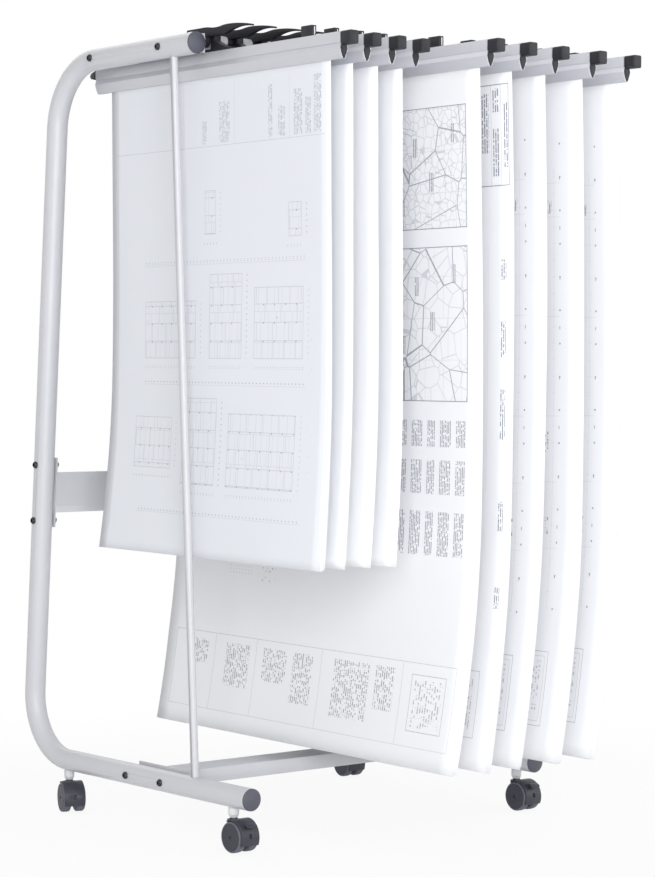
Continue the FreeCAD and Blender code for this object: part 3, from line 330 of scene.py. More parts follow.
# ------------------------------------------------------------------------- the prints' line work
class Drawing:
    """Line work on a print, in metres from the print's top corner: u across and v down."""

    def __init__(self, finish):
        self.finish = finish
        self.flat = finish.node("ShaderNodeUVMap", {"uv_map": "flat"})
        self.u = finish.node("ShaderNodeSeparateXYZ", None, {0: self.flat})
        self.v = Field(finish, self.u.socket.node.outputs[1])
        self.ink = None

    def add(self, mask, weight):
        """Inks a mask over what is drawn already."""
        mask = mask * weight
        self.ink = mask if self.ink is None else (self.ink | mask)

    def window(self, left, top, width, height):
        """1 inside an upright rectangle, and 0 outside it."""
        return self.u.within(left, left + width) * self.v.within(top, top + height)

    def outline(self, left, top, width, height, pen, weight):
        """A ruled rectangle."""
        across = abs(self.u - (left + width / 2)) - width / 2
        down = abs(self.v - (top + height / 2)) - height / 2
        self.add(abs(across | down) < pen, weight)

    def script(self, window, along, down, pitch, seed, weight, density):
        """Rows of short marks like small print seen from far off, with no letters in them."""
        row = (down / pitch).floor()
        share = down % pitch
        spot = self.finish.node(
            "ShaderNodeCombineXYZ", None, {0: along * (0.42 / pitch), 1: row * 7.3 + seed}
        )
        marks = self.finish.noise(spot, 1.9, 3, 0.7)
        inked = (marks > (1 - density)) * (share < pitch * 0.5)
        self.add(inked * window, weight)

    def plots(self, window, scale, pen, weight, seed):
        """Straight boundaries between irregular plots."""
        spot = self.finish.node(
            "ShaderNodeVectorMath", {"operation": "ADD"}, {0: self.flat, 1: (seed, seed, 0)}
        )
        edge = self.finish.node(
            "ShaderNodeTexVoronoi", {"feature": "DISTANCE_TO_EDGE"}, {"Vector": spot, "Scale": scale}
        )
        self.add((edge < pen) * window, weight)

    def rooms(self, window, width, height, pen, weight, shift=0.5):
        """Walls of rooms in staggered rows."""
        walls = self.finish.node(
            "ShaderNodeTexBrick",
            {"offset": shift, "offset_frequency": 2, "squash": 0.7, "squash_frequency": 3},
            {"Vector": self.flat, "Scale": 1.0, "Mortar Size": pen, "Mortar Smooth": 0.0, "Bias": 0.0,
             "Brick Width": width, "Row Height": height}, out=1,
        )
        self.add(walls * window, weight)

    def dots(self, window, across, down, size, weight):
        """Small square dots on a grid of the two pitches."""
        self.add(((self.u % across) < size) * ((self.v % down) < size) * window, weight)


def paper_finish(name, paper, ink, width, height, draw=None, strength=0.9):
    """Drawing paper: cool white with a faint cockle, and what the draw function inks on it."""
    sheet = Finish(name, Roughness=0.7, Specular_IOR_Level=0.25)
    drawing = Drawing(sheet)
    cloud = sheet.noise(drawing.flat, 2.2, 2)
    fibre = sheet.noise(drawing.flat, 900, 2)
    tone = sheet.mix(cloud * 0.8 + fibre * 0.2, shade(paper, 0.975), shade(paper, 1.02))
    if draw:
        draw(drawing, width, height)
        tone = sheet.mix(drawing.ink * strength, tone, ink)
    sheet.feed("Base Color", tone)
    sheet.bump(cloud, 3 * MM, 0.25)
    return sheet.material


def draw_site_layout(d, width, height):
    """A small-format layout: plans of small rooms, strings of dimensions and upright notes at the head."""
    d.add(d.window(0.012, 0.128, width - 0.03, 0.0007), 0.5)
    for left in (0.012, width - 0.0185):
        d.add(d.window(left, 0.022, 0.0006, height - 0.06), 0.35)
    for left in (0.105, 0.255, 0.40):
        d.add(d.window(left, 0.022, 0.0006, 0.106), 0.35)
    for left, wide, tall in (
        (0.022, 0.020, 0.095), (0.048, 0.016, 0.060), (0.072, 0.022, 0.075), (0.118, 0.018, 0.050),
        (0.150, 0.012, 0.088), (0.268, 0.030, 0.070), (0.335, 0.012, 0.040), (0.415, 0.022, 0.084),
    ):
        d.script(d.window(left, 0.124 - tall, wide, tall), d.v, d.u, 0.0038, left * 31, 0.62, 0.52)
    for left, top, wide, tall in (
        (0.075, 0.235, 0.034, 0.056), (0.31, 0.205, 0.030, 0.075),
        (0.070, 0.375, 0.130, 0.120), (0.235, 0.350, 0.090, 0.145), (0.365, 0.395, 0.150, 0.100),
        (0.085, 0.590, 0.180, 0.125), (0.300, 0.565, 0.095, 0.150), (0.430, 0.600, 0.110, 0.090),
    ):
        block = d.window(left, top, wide, tall)
        d.rooms(block, 0.043, 0.031, 0.0006, 0.34)
        d.rooms(block, 0.021, 0.052, 0.0005, 0.24, 0.3)
        d.outline(left, top, wide, tall, 0.0006, 0.36)
        d.dots(block, 0.029, 0.031, 0.0022, 1.0)
        names = d.window(left + 0.008, top + 0.008, wide - 0.016, tall - 0.016)
        d.script(names, d.v, d.u, 0.0105, left * 7, 0.35, 0.30)
        under = d.window(left - 0.004, top + tall + 0.014, wide + 0.008, 0.004)
        d.dots(under, 0.0085, 0.004, 0.0022, 0.55)
        d.dots(d.window(left - 0.016, top, 0.003, tall), 0.004, 0.0095, 0.0024, 0.6)
    for top in (0.325, 0.535, 0.762):
        d.dots(d.window(0.06, top, width - 0.16, 0.004), 0.0095, 0.004, 0.0022, 0.7)
        d.add(d.window(0.06, top + 0.0065, width - 0.16, 0.0005), 0.4)
    for left in (0.045, 0.555):
        d.script(d.window(left, 0.25, 0.010, 0.46), d.v, d.u, 0.0046, left * 11, 0.4, 0.34)


def draw_survey(d, width, height):
    """A large survey: two panels of plots, tables of upright notes and a strip of boxes at the foot."""
    for top, tall, grain, pen, seed in ((0.068, 0.205, 62, 0.034, 0.4), (0.305, 0.262, 27, 0.017, 2.7)):
        panel = d.window(0.032, top, 0.30, tall)
        d.outline(0.032, top, 0.30, tall, 0.0007, 1.0)
        d.plots(panel, grain, pen, 0.36, seed)
        d.rooms(panel, 0.046, 0.071, 0.0005, 0.26)
        d.plots(panel, 11, 0.008, 0.8, seed + 5)
        for left, down in ((0.06, 0.03), (0.115, 0.11), (0.155, 0.05), (0.19, 0.15)):
            d.script(d.window(left, top + down, 0.011, 0.032), d.v, d.u, 0.0044, left * 29, 0.9, 0.62)
    for row, (top, tall) in enumerate(((0.600, 0.045), (0.668, 0.058), (0.756, 0.075))):
        for left, wide in ((0.036, 0.024), (0.070, 0.030), (0.112, 0.018), (0.142, 0.028), (0.184, 0.022)):
            d.script(d.window(left, top, wide, tall), d.v, d.u, 0.0040, row + left * 17, 0.95, 0.55)
        d.script(d.window(0.22, top, 0.09, tall), d.v, d.u, 0.0050, row * 3.0 + 1, 0.75, 0.5)
    d.script(d.window(0.53, 0.880, 0.05, 0.032), d.u, d.v, 0.0058, 6.1, 0.6, 0.4)
    d.dots(d.window(0.60, 0.872, 0.07, 0.03), 0.009, 0.0064, 0.0016, 0.6)
    foot = height - 0.175
    d.add(d.window(0.022, foot, width - 0.05, 0.0008), 0.6)
    d.add(d.window(0.022, height - 0.034, width - 0.05, 0.0008), 0.45)
    for left in (0.022, 0.155, 0.375, 0.565, 0.69, width - 0.0288):
        d.add(d.window(left, foot, 0.0008, 0.141), 0.55)
    for left, wide, tall in (
        (0.175, 0.050, 0.075), (0.240, 0.100, 0.100), (0.400, 0.055, 0.090), (0.475, 0.070, 0.060),
        (0.585, 0.070, 0.080), (0.710, 0.060, 0.045),
    ):
        d.script(d.window(left, foot + 0.014, wide, tall), d.v, d.u, 0.0054, left * 13, 0.8, 0.5)
    d.outline(0.045, foot + 0.020, 0.085, 0.095, 0.0006, 0.6)
    d.script(d.window(0.052, foot + 0.028, 0.070, 0.080), d.v, d.u, 0.0062, 7.7, 0.6, 0.48)


def draw_elevation(d, width, height):
    """A large gridded elevation: small marks down the front edge and a framed panel at the foot."""
    d.dots(d.window(0.050, 0.11, 0.0030, height - 0.33), 0.05, 0.058, 0.0030, 0.9)
    d.dots(d.window(0.051, 0.135, 0.0016, height - 0.40), 0.004, 0.087, 0.0060, 0.8)
    for top in (0.185, 0.244, 0.418, 0.592, 0.708, 0.824):
        d.add(d.window(0.052, top, 0.040, 0.0005), 0.35)
    for left, top, tall in ((0.072, 0.215, 0.024), (0.088, 0.470, 0.050), (0.074, 0.770, 0.030)):
        d.script(d.window(left, top, 0.009, tall), d.v, d.u, 0.0050, top * 23, 0.9, 0.5)
    d.add(d.window(0.066, 0.16, 0.0005, height - 0.42), 0.35)
    d.dots(d.window(0.062, 0.16, 0.009, height - 0.42), 0.004, 0.029, 0.0010, 0.5)
    d.script(d.window(0.084, 0.30, 0.010, 0.055), d.v, d.u, 0.0056, 4.0, 0.9, 0.5)
    d.script(d.window(0.078, 0.62, 0.012, 0.035), d.v, d.u, 0.0056, 2.6, 0.8, 0.5)
    d.rooms(d.window(0.22, 0.16, 0.50, 0.58), 0.055, 0.032, 0.0006, 0.4, 0.35)
    foot = height - 0.185
    d.outline(0.050, foot, 0.20, 0.128, 0.0006, 0.55)
    d.outline(0.057, foot + 0.008, 0.115, 0.112, 0.0004, 0.45)
    d.script(d.window(0.064, foot + 0.016, 0.10, 0.094), d.v, d.u, 0.0066, 8.0, 0.5, 0.46)


def draw_section(d, width, height):
    """A large section: a framed block of notes at the head and spaced marks down the front edge."""
    d.outline(0.008, 0.030, 0.092, 0.170, 0.0007, 1.0)
    for left in (0.026, 0.050):
        d.add(d.window(left, 0.030, 0.0006, 0.170), 0.8)
    for left, top, wide, tall in (
        (0.030, 0.036, 0.016, 0.040), (0.031, 0.104, 0.015, 0.080), (0.010, 0.060, 0.012, 0.110),
        (0.056, 0.044, 0.036, 0.100),
    ):
        d.script(d.window(left, top, wide, tall), d.v, d.u, 0.0054, top * 19, 1.0, 0.55)
    d.dots(d.window(0.042, 0.26, 0.004, height - 0.50), 0.05, 0.083, 0.004, 1.0)
    d.add(d.window(0.060, 0.30, 0.0005, 0.42), 0.4)
    for down, tall in ((0.325, 0.034), (0.430, 0.060), (0.545, 0.085), (0.735, 0.050), (0.880, 0.036)):
        d.script(d.window(0.016, down, 0.013, tall), d.v, d.u, 0.0050, down * 23, 1.0, 0.55)
    d.script(d.window(0.074, 0.44, 0.012, 0.040), d.v, d.u, 0.0056, 1.4, 0.95, 0.5)
    d.rooms(d.window(0.24, 0.22, 0.48, 0.50), 0.046, 0.040, 0.0006, 0.4)
    foot = height - 0.165
    d.outline(0.046, foot, 0.18, 0.112, 0.0006, 0.5)
    d.script(d.window(0.060, foot + 0.014, 0.14, 0.084), d.v, d.u, 0.0066, 2.0, 0.5, 0.48)


# ------------------------------------------------------------------------------- mesh helpers
# Edges that turn more than this are rounded, in radians.
HARD_ANGLE = math.radians(40)
# Points nearer than this are one: on a new mesh, and on a node's loose triangles.
WELD, NODE_WELD = 1e-6, 2e-6


def add_piece(name, mesh, body, material, stands_for=()):
    """Links a finished mesh as a piece that rides on a body."""
    piece = bpy.data.objects.new(name, mesh)
    bpy.context.scene.collection.objects.link(piece)
    piece.data.materials.append(material)
    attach(piece, body)
    if stands_for:
        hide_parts(*stands_for)
    return piece


def to_mesh(bm, name, sharp_angle=35):
    """Closes a bmesh into a smooth-shaded mesh whose hard edges stay sharp."""
    bmesh.ops.remove_doubles(bm, verts=bm.verts, dist=WELD)
    bmesh.ops.recalc_face_normals(bm, faces=bm.faces)
    mesh = bpy.data.meshes.new(name)
    bm.to_mesh(mesh)
    bm.free()
    mesh.polygons.foreach_set("use_smooth", [True] * len(mesh.polygons))
    mesh.set_sharp_from_angle(angle=math.radians(sharp_angle))
    return mesh


def copy_of(node, flat_angle=1.0):
    """A node's triangles as a bmesh of welded, whole faces."""
    bm = bmesh.new()
    bm.from_mesh(NODES[node].data)
    bmesh.ops.remove_doubles(bm, verts=bm.verts, dist=NODE_WELD)
    bmesh.ops.dissolve_limit(
        bm, angle_limit=math.radians(flat_angle), verts=bm.verts, edges=bm.edges, delimit={"NORMAL"}
    )
    return bm


def soften(bm, width, segments=2):
    """Rounds every hard edge."""
    hard = [edge for edge in bm.edges if edge.is_manifold and edge.calc_face_angle(0) > HARD_ANGLE]
    bmesh.ops.bevel(
        bm, geom=hard, offset=width, offset_type="OFFSET", segments=segments, profile=0.5,
        affect="EDGES", material=-1, clamp_overlap=True,
    )
    return bm


def repaint(node, material):
    """Gives a CAD node that stays its finish."""
    data = NODES[node].data
    data.materials.clear()
    data.materials.append(material)


# --------------------------------------------------------------------------------- operators
# Tones of the moulded parts, as shares of their common colour, and the collars' own colour.
CAP_TONE, HOOD_TONE, TREAD_TONE, DISC_TONE, HANGER_TONE = 1.45, 0.7, 1.9, 0.7, 0.3
COLLAR_COLOUR = (0.70, 0.70, 0.73)
# Widths of the rounded edges.
PANEL_EDGE, PEDAL_EDGE = 0.6 * MM, 0.6 * MM
HOOD_EDGE, HANGER_EDGE = 0.7 * MM, 0.7 * MM
FINGER_EDGE = 1.1 * MM


class RACK_OT_stage(bpy.types.Operator):
    """Add the floor, the lamps, the world and the camera"""

    bl_idname = "rack.stage"
    bl_label = "Stage"

    def execute(self, context):
        stage = context.scene.rack_stage
        add_floor(stage)
        add_world(stage)
        add_lamps(stage)
        add_camera()
        context.scene.view_settings.view_transform = "Standard"
        return {"FINISHED"}


# The floor's half width, and how far from its middle the shadow starts to fade and is gone.
FLOOR_REACH = 14
SHADOW_FADE = (0.7, 1.5)


def add_floor(stage):
    """The studio floor, which shows a faint shadow that fades into the white backdrop."""
    bm = bmesh.new()
    bmesh.ops.create_grid(bm, x_segments=1, y_segments=1, size=FLOOR_REACH)
    mesh = bpy.data.meshes.new("floor")
    bm.to_mesh(mesh)
    bm.free()
    floor = bpy.data.objects.new("floor", mesh)
    bpy.context.scene.collection.objects.link(floor)
    skin = Finish("studio_floor", Roughness=0.9, Specular_IOR_Level=0.1)
    skin.shader.inputs["Base Color"].default_value = (*stage.floor, 1)
    white = skin.node("ShaderNodeEmission", None, {"Color": (1, 1, 1, 1), "Strength": 1.0})
    shaded = Field(skin, skin.shader.outputs[0])
    spot = skin.node("ShaderNodeTexCoord", out=3)
    far = skin.node("ShaderNodeVectorMath", {"operation": "LENGTH"}, {0: spot}, out=1)
    start, end = SHADOW_FADE
    near = skin.node("ShaderNodeMapRange", None, {0: far, 1: start, 2: end, 3: stage.shadow, 4: 0})
    faint = skin.backdrop_rays() * (1 - near)
    skin.finish_with(
        "Material Output", skin.node("ShaderNodeMixShader", None, {0: faint, 1: shaded, 2: white})
    )
    floor.data.materials.append(skin.material)


def add_world(stage):
    """Even light from all round, under a backdrop of plain white."""
    world = bpy.data.worlds.new("studio")
    bpy.context.scene.world = world
    sky = Nodes(world)
    even = sky.node("ShaderNodeBackground", None, {"Color": (1, 1, 1, 1), "Strength": stage.fill})
    white = sky.node("ShaderNodeBackground", None, {"Color": (1, 1, 1, 1), "Strength": 1.0})
    sky.finish_with(
        "World Output", sky.node("ShaderNodeMixShader", None, {0: sky.backdrop_rays(), 1: even, 2: white})
    )


# The soft lamps: name, place, width and share of the lamp power, all turned to the rack's middle.
LAMPS = (
    ("key", (-3.0, -4.1, 1.4), 3.0, 1.0),
    ("side", (3.0, -3.6, 1.7), 2.2, 0.3),
    ("back", (0.8, 3.4, 3.0), 2.4, 0.12),
)
RACK_MIDDLE = Vector((0, 0, 0.75))


def add_lamps(stage):
    """The square soft lamps."""
    for name, spot, size, share in LAMPS:
        lamp = bpy.data.lights.new(name, "AREA")
        lamp.shape = "SQUARE"
        lamp.size = size
        lamp.energy = stage.lamp * share
        thing = bpy.data.objects.new(name, lamp)
        thing.location = spot
        thing.rotation_euler = (RACK_MIDDLE - Vector(spot)).to_track_quat("-Z", "Y").to_euler()
        bpy.context.scene.collection.objects.link(thing)


# The view: image width and focal length in pixels, the view's angles in degrees and the lens's place.
IMAGE_WIDTH = 655
FOCAL_PIXELS = 2476.8
VIEW_AZIMUTH, VIEW_ELEVATION, VIEW_ROLL = -39.657, 1.465, 0.3075
LENS_PLACE = (-2.8714, -3.4535, 0.8039)


def add_camera():
    """The camera, looking at the rack from its front left."""
    lens = bpy.data.cameras.new("camera")
    lens.sensor_fit = "HORIZONTAL"
    lens.sensor_width = 36
    lens.lens = FOCAL_PIXELS * lens.sensor_width / IMAGE_WIDTH
    lens.clip_end = 60
    thing = bpy.data.objects.new("camera", lens)
    tilt = Euler((math.radians(90 - VIEW_ELEVATION), 0, math.radians(VIEW_AZIMUTH))).to_matrix()
    turn = tilt @ Matrix.Rotation(math.radians(VIEW_ROLL), 3, "Z")
    thing.matrix_world = Matrix.Translation(LENS_PLACE) @ turn.to_4x4()
    bpy.context.scene.collection.objects.link(thing)
    bpy.context.scene.camera = thing


class RACK_OT_frame(bpy.types.Operator):
    """Paint the tubes, braces and panel, and finish the caps, bolts and collars"""

    bl_idname = "rack.frame"
    bl_label = "Frame"

    def execute(self, context):
        colours = context.scene.rack_colours
        coat = powder_coat(tuple(colours.paint))
        for node in ("left_side_frame", "right_side_frame", "stay_rods"):
            bm = copy_of(node, 0.0)
            add_piece(f"{node}_painted", to_mesh(bm, node), "rack", coat, (node,))
        for node in ("top_panel", "mid_brace", "bottom_brace"):
            bm = soften(copy_of(node), PANEL_EDGE)
            add_piece(f"{node}_painted", to_mesh(bm, node), "rack", coat, (node,))
        repaint("frame_bolts", blackened_steel())
        caps = moulded("cap_plastic", shade(tuple(colours.moulding), CAP_TONE))
        domes = to_mesh(cap_domes(), "tube_end_caps")
        add_piece("end_cap_domes", domes, "rack", caps, ("tube_end_caps",))
        repaint("castor_sockets", moulded("collar_plastic", COLLAR_COLOUR))
        return {"FINISHED"}


def islands(bm):
    """The separate pieces of a bmesh, each as a list of its vertices' places."""
    waiting = set(bm.verts)
    found = []
    for first in bm.verts:
        if first not in waiting:
            continue
        waiting.remove(first)
        reached = [first]
        for here in reached:
            for edge in here.link_edges:
                there = edge.other_vert(here)
                if there in waiting:
                    waiting.remove(there)
                    reached.append(there)
        found.append([vert.co.copy() for vert in reached])
    return found


# A cap in millimetres: how far its dome rises, its lip's depth and the radius of the lip's edge.
CAP_RISE, CAP_LIP, CAP_EDGE = 5, 2.5, 1.2
# Steps along the dome and round the lip's edge.
DOME_STEPS, EDGE_STEPS = 12, 3


def dome_profile(radius):
    """A cap's outline from its tip, at 0, back over the dome and round the lip's edge."""
    rim = radius - CAP_EDGE
    sphere = (rim * rim + CAP_RISE * CAP_RISE) / (CAP_RISE * 2)
    spread = math.asin(rim / sphere)
    profile = []
    for step in range(DOME_STEPS + 1):
        turn = spread * step / DOME_STEPS
        profile.append(((sphere * (math.cos(turn) - 1)) * MM, sphere * math.sin(turn)))
    for step in range(1, EDGE_STEPS + 1):
        turn = math.radians(90 / EDGE_STEPS * step)
        back = -CAP_RISE - CAP_EDGE * (1 - math.cos(turn))
        profile.append((back * MM, rim + CAP_EDGE * math.sin(turn)))
    seat = -(CAP_RISE + CAP_LIP) * MM
    return profile + [(seat, radius), (seat, 0)]


def cap_domes():
    """The four caps in the open tube ends: a thin lip under a low smooth dome."""
    domes = bmesh.new()
    caps = copy_of("tube_end_caps", 0.0)
    forward = turn_from_x((0, -1, 0))
    for places in islands(caps):
        low = [min(place[i] for place in places) for i in range(3)]
        high = [max(place[i] for place in places) for i in range(3)]
        dome = spun_ring(dome_profile((high[0] - low[0]) / 2 / MM), 1, closed=False)
        tip = ((high[0] + low[0]) / 2, low[1], (high[2] + low[2]) / 2)
        dome.transform(Matrix.Translation(tip) @ forward)
        mesh = bpy.data.meshes.new("dome")
        dome.to_mesh(mesh)
        dome.free()
        domes.from_mesh(mesh)
        bpy.data.meshes.remove(mesh)
    caps.free()
    return domes


class RACK_OT_fingers(bpy.types.Operator):
    """Round the edges of the moulded fingers"""

    bl_idname = "rack.fingers"
    bl_label = "Fingers"

    def execute(self, context):
        colour = tuple(context.scene.rack_colours.finger)
        black = moulded("finger_plastic", colour, gloss=0.4, sheen=0.28)
        bm = soften(copy_of("finger_arms"), FINGER_EDGE, segments=3)
        add_piece(
            "finger_mouldings", to_mesh(bm, "fingers"), "rack", black, ("finger_arms",)
        )
        return {"FINISHED"}


class RACK_OT_castors(bpy.types.Operator):
    """Finish the castors' hoods, wheels and brake levers"""

    bl_idname = "rack.castors"
    bl_label = "Castors"

    def execute(self, context):
        dark = tuple(context.scene.rack_colours.moulding)
        hood = moulded("hood_plastic", shade(dark, HOOD_TONE), gloss=0.4, sheen=0.4)
        tread = moulded("tread_rubber", shade(dark, TREAD_TONE), gloss=0.5)
        disc = moulded("disc_plastic", shade(dark, DISC_TONE), gloss=0.42, sheen=0.35)
        for corner in CORNERS:
            node = f"{corner}_castor_hood"
            bm = soften(copy_of(node), HOOD_EDGE)
            add_piece(
                f"{corner}_hood", to_mesh(bm, node), f"{corner}_castor", hood, (node,)
            )
            for side in ("left", "right"):
                add_wheel(corner, side, tread, disc)
            if corner.startswith("front"):
                node = f"{corner}_brake_lever"
                bm = soften(copy_of(node), PEDAL_EDGE)
                add_piece(
                    f"{corner}_pedal", to_mesh(bm, node), f"{corner}_brake", hood, (node,)
                )
        return {"FINISHED"}


# A wheel's inner and outer face, and its two outlines of (distance along the axle, radius in mm).
WHEEL_INNER, WHEEL_OUTER = 5.5 * MM, 21 * MM
TREAD_PROFILE = (
    (WHEEL_INNER, 20.5), (WHEEL_INNER, 24.4), (WHEEL_INNER + 1.4 * MM, 26.2),
    (WHEEL_INNER + 5 * MM, 26.5), (WHEEL_OUTER - 5 * MM, 26.5), (WHEEL_OUTER - 1.8 * MM, 26.1),
    (WHEEL_OUTER - 0.3 * MM, 24.8), (WHEEL_OUTER - 0.3 * MM, 23.6), (WHEEL_OUTER - 1.0 * MM, 23.3),
    (WHEEL_OUTER - 1.0 * MM, 20.5),
)
DISC_PROFILE = (
    (WHEEL_INNER, 3.2), (WHEEL_INNER, 21.0), (WHEEL_OUTER - 1.1 * MM, 21.0),
    (WHEEL_OUTER - 0.9 * MM, 23.1), (WHEEL_OUTER - 0.4 * MM, 23.2), (WHEEL_OUTER, 22.6),
    (WHEEL_OUTER - 0.1 * MM, 14.0), (WHEEL_OUTER - 0.5 * MM, 3.2),
)
# Faces round a turned piece.
SPIN_STEPS = 48


def add_wheel(corner, side, tread, disc):
    """One castor wheel: a crowned tread band round a dished disc."""
    node = f"{corner}_{side}_wheel"
    joint = next(joint for joint in frame["joints"] if joint["name"] == f"{node}_spin")
    move = Matrix.Translation(joint["pos_m"]) @ turn_from_x(joint["axis"])
    out = 1 if side == "right" else -1
    for label, profile, material in (("tread", TREAD_PROFILE, tread), ("disc", DISC_PROFILE, disc)):
        bm = spun_ring(profile, out)
        bm.transform(move)
        mesh = to_mesh(bm, f"{node}_{label}", sharp_angle=30)
        add_piece(f"{corner}_{side}_{label}", mesh, node, material, (node,))


def turn_from_x(axis):
    """The turn that takes the X axis to another axis."""
    return Vector((1, 0, 0)).rotation_difference(Vector(axis).normalized()).to_matrix().to_4x4()


def spun_ring(profile, out, closed=True):
    """Turns an outline of (distance along X, radius in mm) about the X axis."""
    bm = bmesh.new()
    verts = [bm.verts.new((along * out, 0, r * MM)) for along, r in profile]
    count = len(verts) if closed else len(verts) - 1
    edges = [bm.edges.new((verts[i], verts[(i + 1) % len(verts)])) for i in range(count)]
    bmesh.ops.spin(
        bm, geom=verts + edges, cent=(0, 0, 0), axis=(1, 0, 0), angle=math.tau, steps=SPIN_STEPS,
        use_merge=True, use_duplicate=False,
    )
    return bm


# The first hanger's aluminium is a darker copy of the rest: painted shade, the same metal standing in less
# light.
SHADED_HANGER_TONE = 0.82


class RACK_OT_hangers(bpy.types.Operator):
    """Finish the hangers' extrusions and mouldings, and slip their index cards in"""

    bl_idname = "rack.hangers"
    bl_label = "Hangers"

    def execute(self, context):
        colours = context.scene.rack_colours
        metal = anodised("anodised_aluminium", tuple(colours.aluminium))
        # A darker copy of the aluminium for the first hanger: painted shade.
        shaded_metal = anodised("shaded_aluminium", shade(tuple(colours.aluminium), SHADED_HANGER_TONE))
        dark = shade(tuple(colours.moulding), HANGER_TONE)
        black = moulded("hanger_plastic", dark, gloss=0.42, sheen=0.38)
        card = card_stock()
        for number in SMALL + LARGE:
            for piece in ("rail", "jaw"):
                # The first hanger takes the aluminium with painted shade.
                repaint(f"hanger_{number}_{piece}", shaded_metal if number == 1 else metal)
            node = f"hanger_{number}_fittings"
            bm = soften(copy_of(node), HANGER_EDGE)
            add_piece(
                f"hanger_{number}_mouldings", to_mesh(bm, node), f"hanger_{number}",
                black, (node,),
            )
            add_card(number, card)
        return {"FINISHED"}


# The index card's width, thickness and height, and where its middle is: from the hanger's middle, from the
# front of its handle and from the top of its extrusion.
CARD_SIZE = (2.8 * MM, 0.5 * MM, 14 * MM)
CARD_PLACE = {"small": (0.9 * MM, 101.1 * MM, 9.4 * MM), "large": (0.9 * MM, 145.6 * MM, 9.4 * MM)}


def add_card(number, card):
    """The white index card in the block on top of the hanger."""
    low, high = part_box(f"hanger_{number}_fittings")
    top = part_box(f"hanger_{number}_rail")[1].z
    aside, back, above = CARD_PLACE[kind_of(number)]
    bm = bmesh.new()
    bmesh.ops.create_cube(bm, size=1)
    bmesh.ops.scale(bm, vec=CARD_SIZE, verts=bm.verts)
    spot = ((low.x + high.x) / 2 + aside, low.y + back, top + above)
    bmesh.ops.translate(bm, vec=spot, verts=bm.verts)
    mesh = to_mesh(bm, f"card_{number}")
    add_piece(f"hanger_{number}_card", mesh, f"hanger_{number}", card)


# The prints, by kind of hanger: flat size, depth of the swell, depth of the hem's curl, and how much more
# the rear corner of the hem curls than its front corner.
SHEET_SIZE = {"small": (0.620, 0.841), "large": (0.841, 1.189)}
SWELL = {"small": 4 * MM, "large": 10 * MM}
CURL = {"small": 13 * MM, "large": 46 * MM}
TWIST = {"small": 9 * MM, "large": -5 * MM}
# How many prints each hanger holds, and how far they stand apart at the clamp.
PRINTS = {1: 3, 2: 4, 3: 4, 4: 4, 5: 3, 6: 4, 7: 4, 8: 4, 9: 3}
CLAMP_STEP = 0.3 * MM
# A print's parts, as shares of its height: how far down it is held, where it is quite loose, where its
# swell ends and where its curl begins.
HELD, LOOSE, SWELL_END, CURL_START = 0.04, 0.34, 0.86, 0.62
# How sharply the curl turns, and the waves' turn in radians across and down a print.
CURL_POWER = 2.2
WAVE_ACROSS, WAVE_DOWN = 7, 5
# How far a print may stray: up or down, forward or back from its head to its hem, and forward or back.
SCATTER = (2.5 * MM, 1.5 * MM, 3.5 * MM)
# How much higher the rear corner of a hem hangs than its front corner.
REAR_LIFT = 6 * MM
# Faces across and down a print.
GRID_ACROSS, GRID_DOWN = 24, 44
# The outer small print's paper, a darker copy of the paper as painted shade, as shares of the paper's
# colour.
PAPER_SHADE_SHARES = (0.88, 0.895, 0.92)


class RACK_OT_prints(bpy.types.Operator):
    """Hang the bundles of prints in the clamps"""

    bl_idname = "rack.prints"
    bl_label = "Prints"

    def execute(self, context):
        colours = context.scene.rack_colours
        paper, ink = tuple(colours.paper), tuple(colours.ink)
        # The outer small print's paper is painted darker than the rest: painted shade.
        shaded_paper = tuple(part * share for part, share in zip(paper, PAPER_SHADE_SHARES))
        small = SHEET_SIZE["small"]
        large = SHEET_SIZE["large"]
        plain = paper_finish("plain_paper", paper, ink, *small)
        printed = {
            # The outer small print is drawn on the paper with painted shade.
            1: paper_finish("site_print", shaded_paper, ink, *small, draw_site_layout, strength=0.85),
            5: paper_finish("survey_print", paper, ink, *large, draw_survey),
            6: paper_finish("section_print", paper, ink, *large, draw_section),
            7: paper_finish("elevation_print", paper, ink, *large, draw_elevation),
        }
        printed[2] = printed[3] = printed[4] = plain
        printed[8] = printed[9] = printed[7]
        for number in SMALL + LARGE:
            hang_bundle(context.scene.rack_prints, number, printed[number], plain)
        return {"FINISHED"}


def hang_bundle(prints, number, printed, plain):
    """Several prints held together at the clamp, parting a little towards the hem."""
    kind = kind_of(number)
    width, height = SHEET_SIZE[kind]
    low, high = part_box(f"hanger_{number}_sheets")
    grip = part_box(f"hanger_{number}_rail")
    corner = ((grip[0].x + grip[1].x) / 2, low.y, high.z)
    count = PRINTS[number]
    chance = random.Random(number * 7)
    swell = SWELL[kind] * chance.uniform(0.9, 1.1)
    curl = CURL[kind] * chance.uniform(0.92, 1.02)
    shape = (swell, curl, TWIST[kind], chance.uniform(0, math.tau))
    for i in range(count):
        share = i / (count - 1) - 0.5
        apart = (share * (count - 1) * CLAMP_STEP, share * prints.spread)
        name = f"hanger_{number}_print_{i + 1}"
        piece = hang_print(prints, name, corner, (width, height), shape, apart, chance)
        piece.data.materials.append(printed if i in (0, count - 1) else plain)
        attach(piece, f"hanger_{number}")
        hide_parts(f"hanger_{number}_sheets")


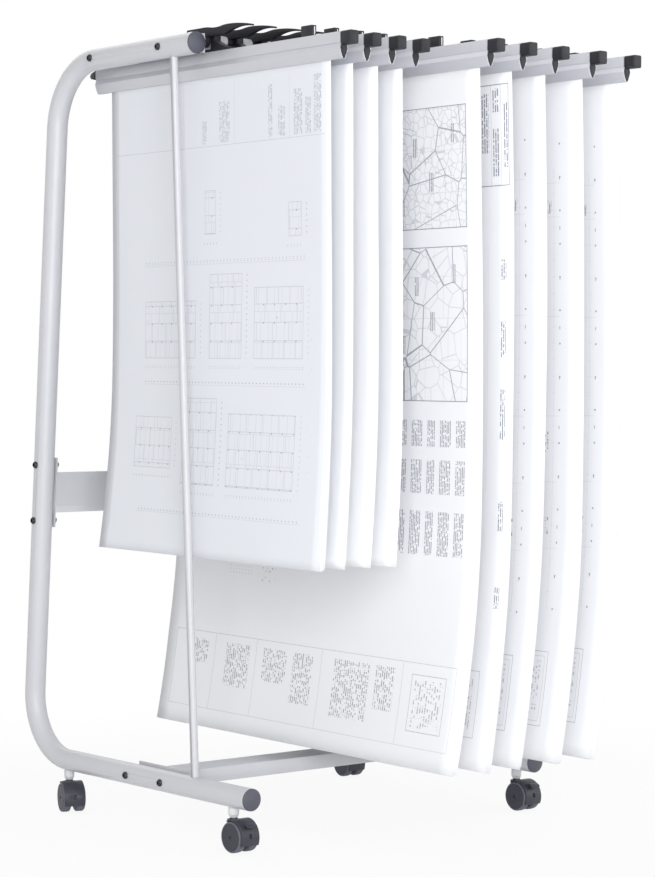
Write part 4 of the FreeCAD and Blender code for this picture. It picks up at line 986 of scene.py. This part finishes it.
def hang_print(prints, name, corner, size, shape, apart, chance):
    """One print: straight at the clamp, then a slow swell, waves near its edges and a curl at the hem.

    How far it stands apart from the bundle's middle is given at the clamp and at the hem.
    """
    x, front, top = corner
    width, height = size
    depth, curl, twist, phase = shape
    bm = bmesh.new()
    bmesh.ops.create_grid(bm, x_segments=GRID_ACROSS, y_segments=GRID_DOWN, size=0.5)
    flat = bm.loops.layers.uv.new("flat")
    lift, skew, stray = (chance.uniform(-reach, reach) for reach in SCATTER)
    for face in bm.faces:
        for loop in face.loops:
            co = loop.vert.co
            loop[flat].uv = ((co.x + 0.5) * width, (0.5 - co.y) * height)
    for vert in bm.verts:
        u, v = vert.co.x + 0.5, 0.5 - vert.co.y
        loose = min(1, max(0, (v - HELD) / (LOOSE - HELD)))
        swell = depth * math.sin(math.pi * min(1, v / SWELL_END))
        hem = (curl + twist * u) * max(0, (v - CURL_START) / (1 - CURL_START)) ** CURL_POWER
        edge = 0.4 + 0.6 * abs(2 * u - 1)
        ripple = prints.wave * loose * math.sin(u * WAVE_ACROSS + v * WAVE_DOWN + phase) * edge
        beside = apart[0] + apart[1] * loose * v * v
        rise = lift + REAR_LIFT * u
        aside = swell - hem + ripple + beside
        vert.co = (x + aside, front + stray + u * width + skew * v, top - v * (height - rise))
    mesh = bpy.data.meshes.new(name)
    bm.to_mesh(mesh)
    bm.free()
    mesh.polygons.foreach_set("use_smooth", [True] * len(mesh.polygons))
    piece = bpy.data.objects.new(name, mesh)
    bpy.context.scene.collection.objects.link(piece)
    wall = piece.modifiers.new("paper", "SOLIDIFY")
    wall.thickness = prints.thickness
    wall.offset = 0
    return piece


class RACK_PT_panel(bpy.types.Panel):
    """The rack's operators and settings in the sidebar"""

    bl_label = "Plan hanging rack"
    bl_space_type = "VIEW_3D"
    bl_region_type = "UI"
    bl_category = "Rack"

    def draw(self, context):
        for operator in OPERATORS:
            self.layout.operator(operator.bl_idname)
        for group in GROUPS:
            settings = getattr(context.scene, group)
            for name in settings.__annotations__:
                self.layout.prop(settings, name)


OPERATORS = (
    RACK_OT_stage,
    RACK_OT_frame,
    RACK_OT_fingers,
    RACK_OT_castors,
    RACK_OT_hangers,
    RACK_OT_prints,
)
GROUPS = {"rack_colours": RackColours, "rack_prints": RackPrints, "rack_stage": RackStage}


def register():
    for group in GROUPS.values():
        bpy.utils.register_class(group)
    for name, group in GROUPS.items():
        setattr(bpy.types.Scene, name, bpy.props.PointerProperty(type=group))
    for operator in (*OPERATORS, RACK_PT_panel):
        bpy.utils.register_class(operator)


def unregister():
    for operator in (RACK_PT_panel, *OPERATORS):
        bpy.utils.unregister_class(operator)
    for name in GROUPS:
        delattr(bpy.types.Scene, name)
    for group in GROUPS.values():
        bpy.utils.unregister_class(group)


def main():
    """Makes the whole scene."""
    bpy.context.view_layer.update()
    register()
    bpy.ops.rack.stage()
    bpy.ops.rack.frame()
    bpy.ops.rack.fingers()
    bpy.ops.rack.castors()
    bpy.ops.rack.hangers()
    bpy.ops.rack.prints()


if __name__ == "__main__":
    main()
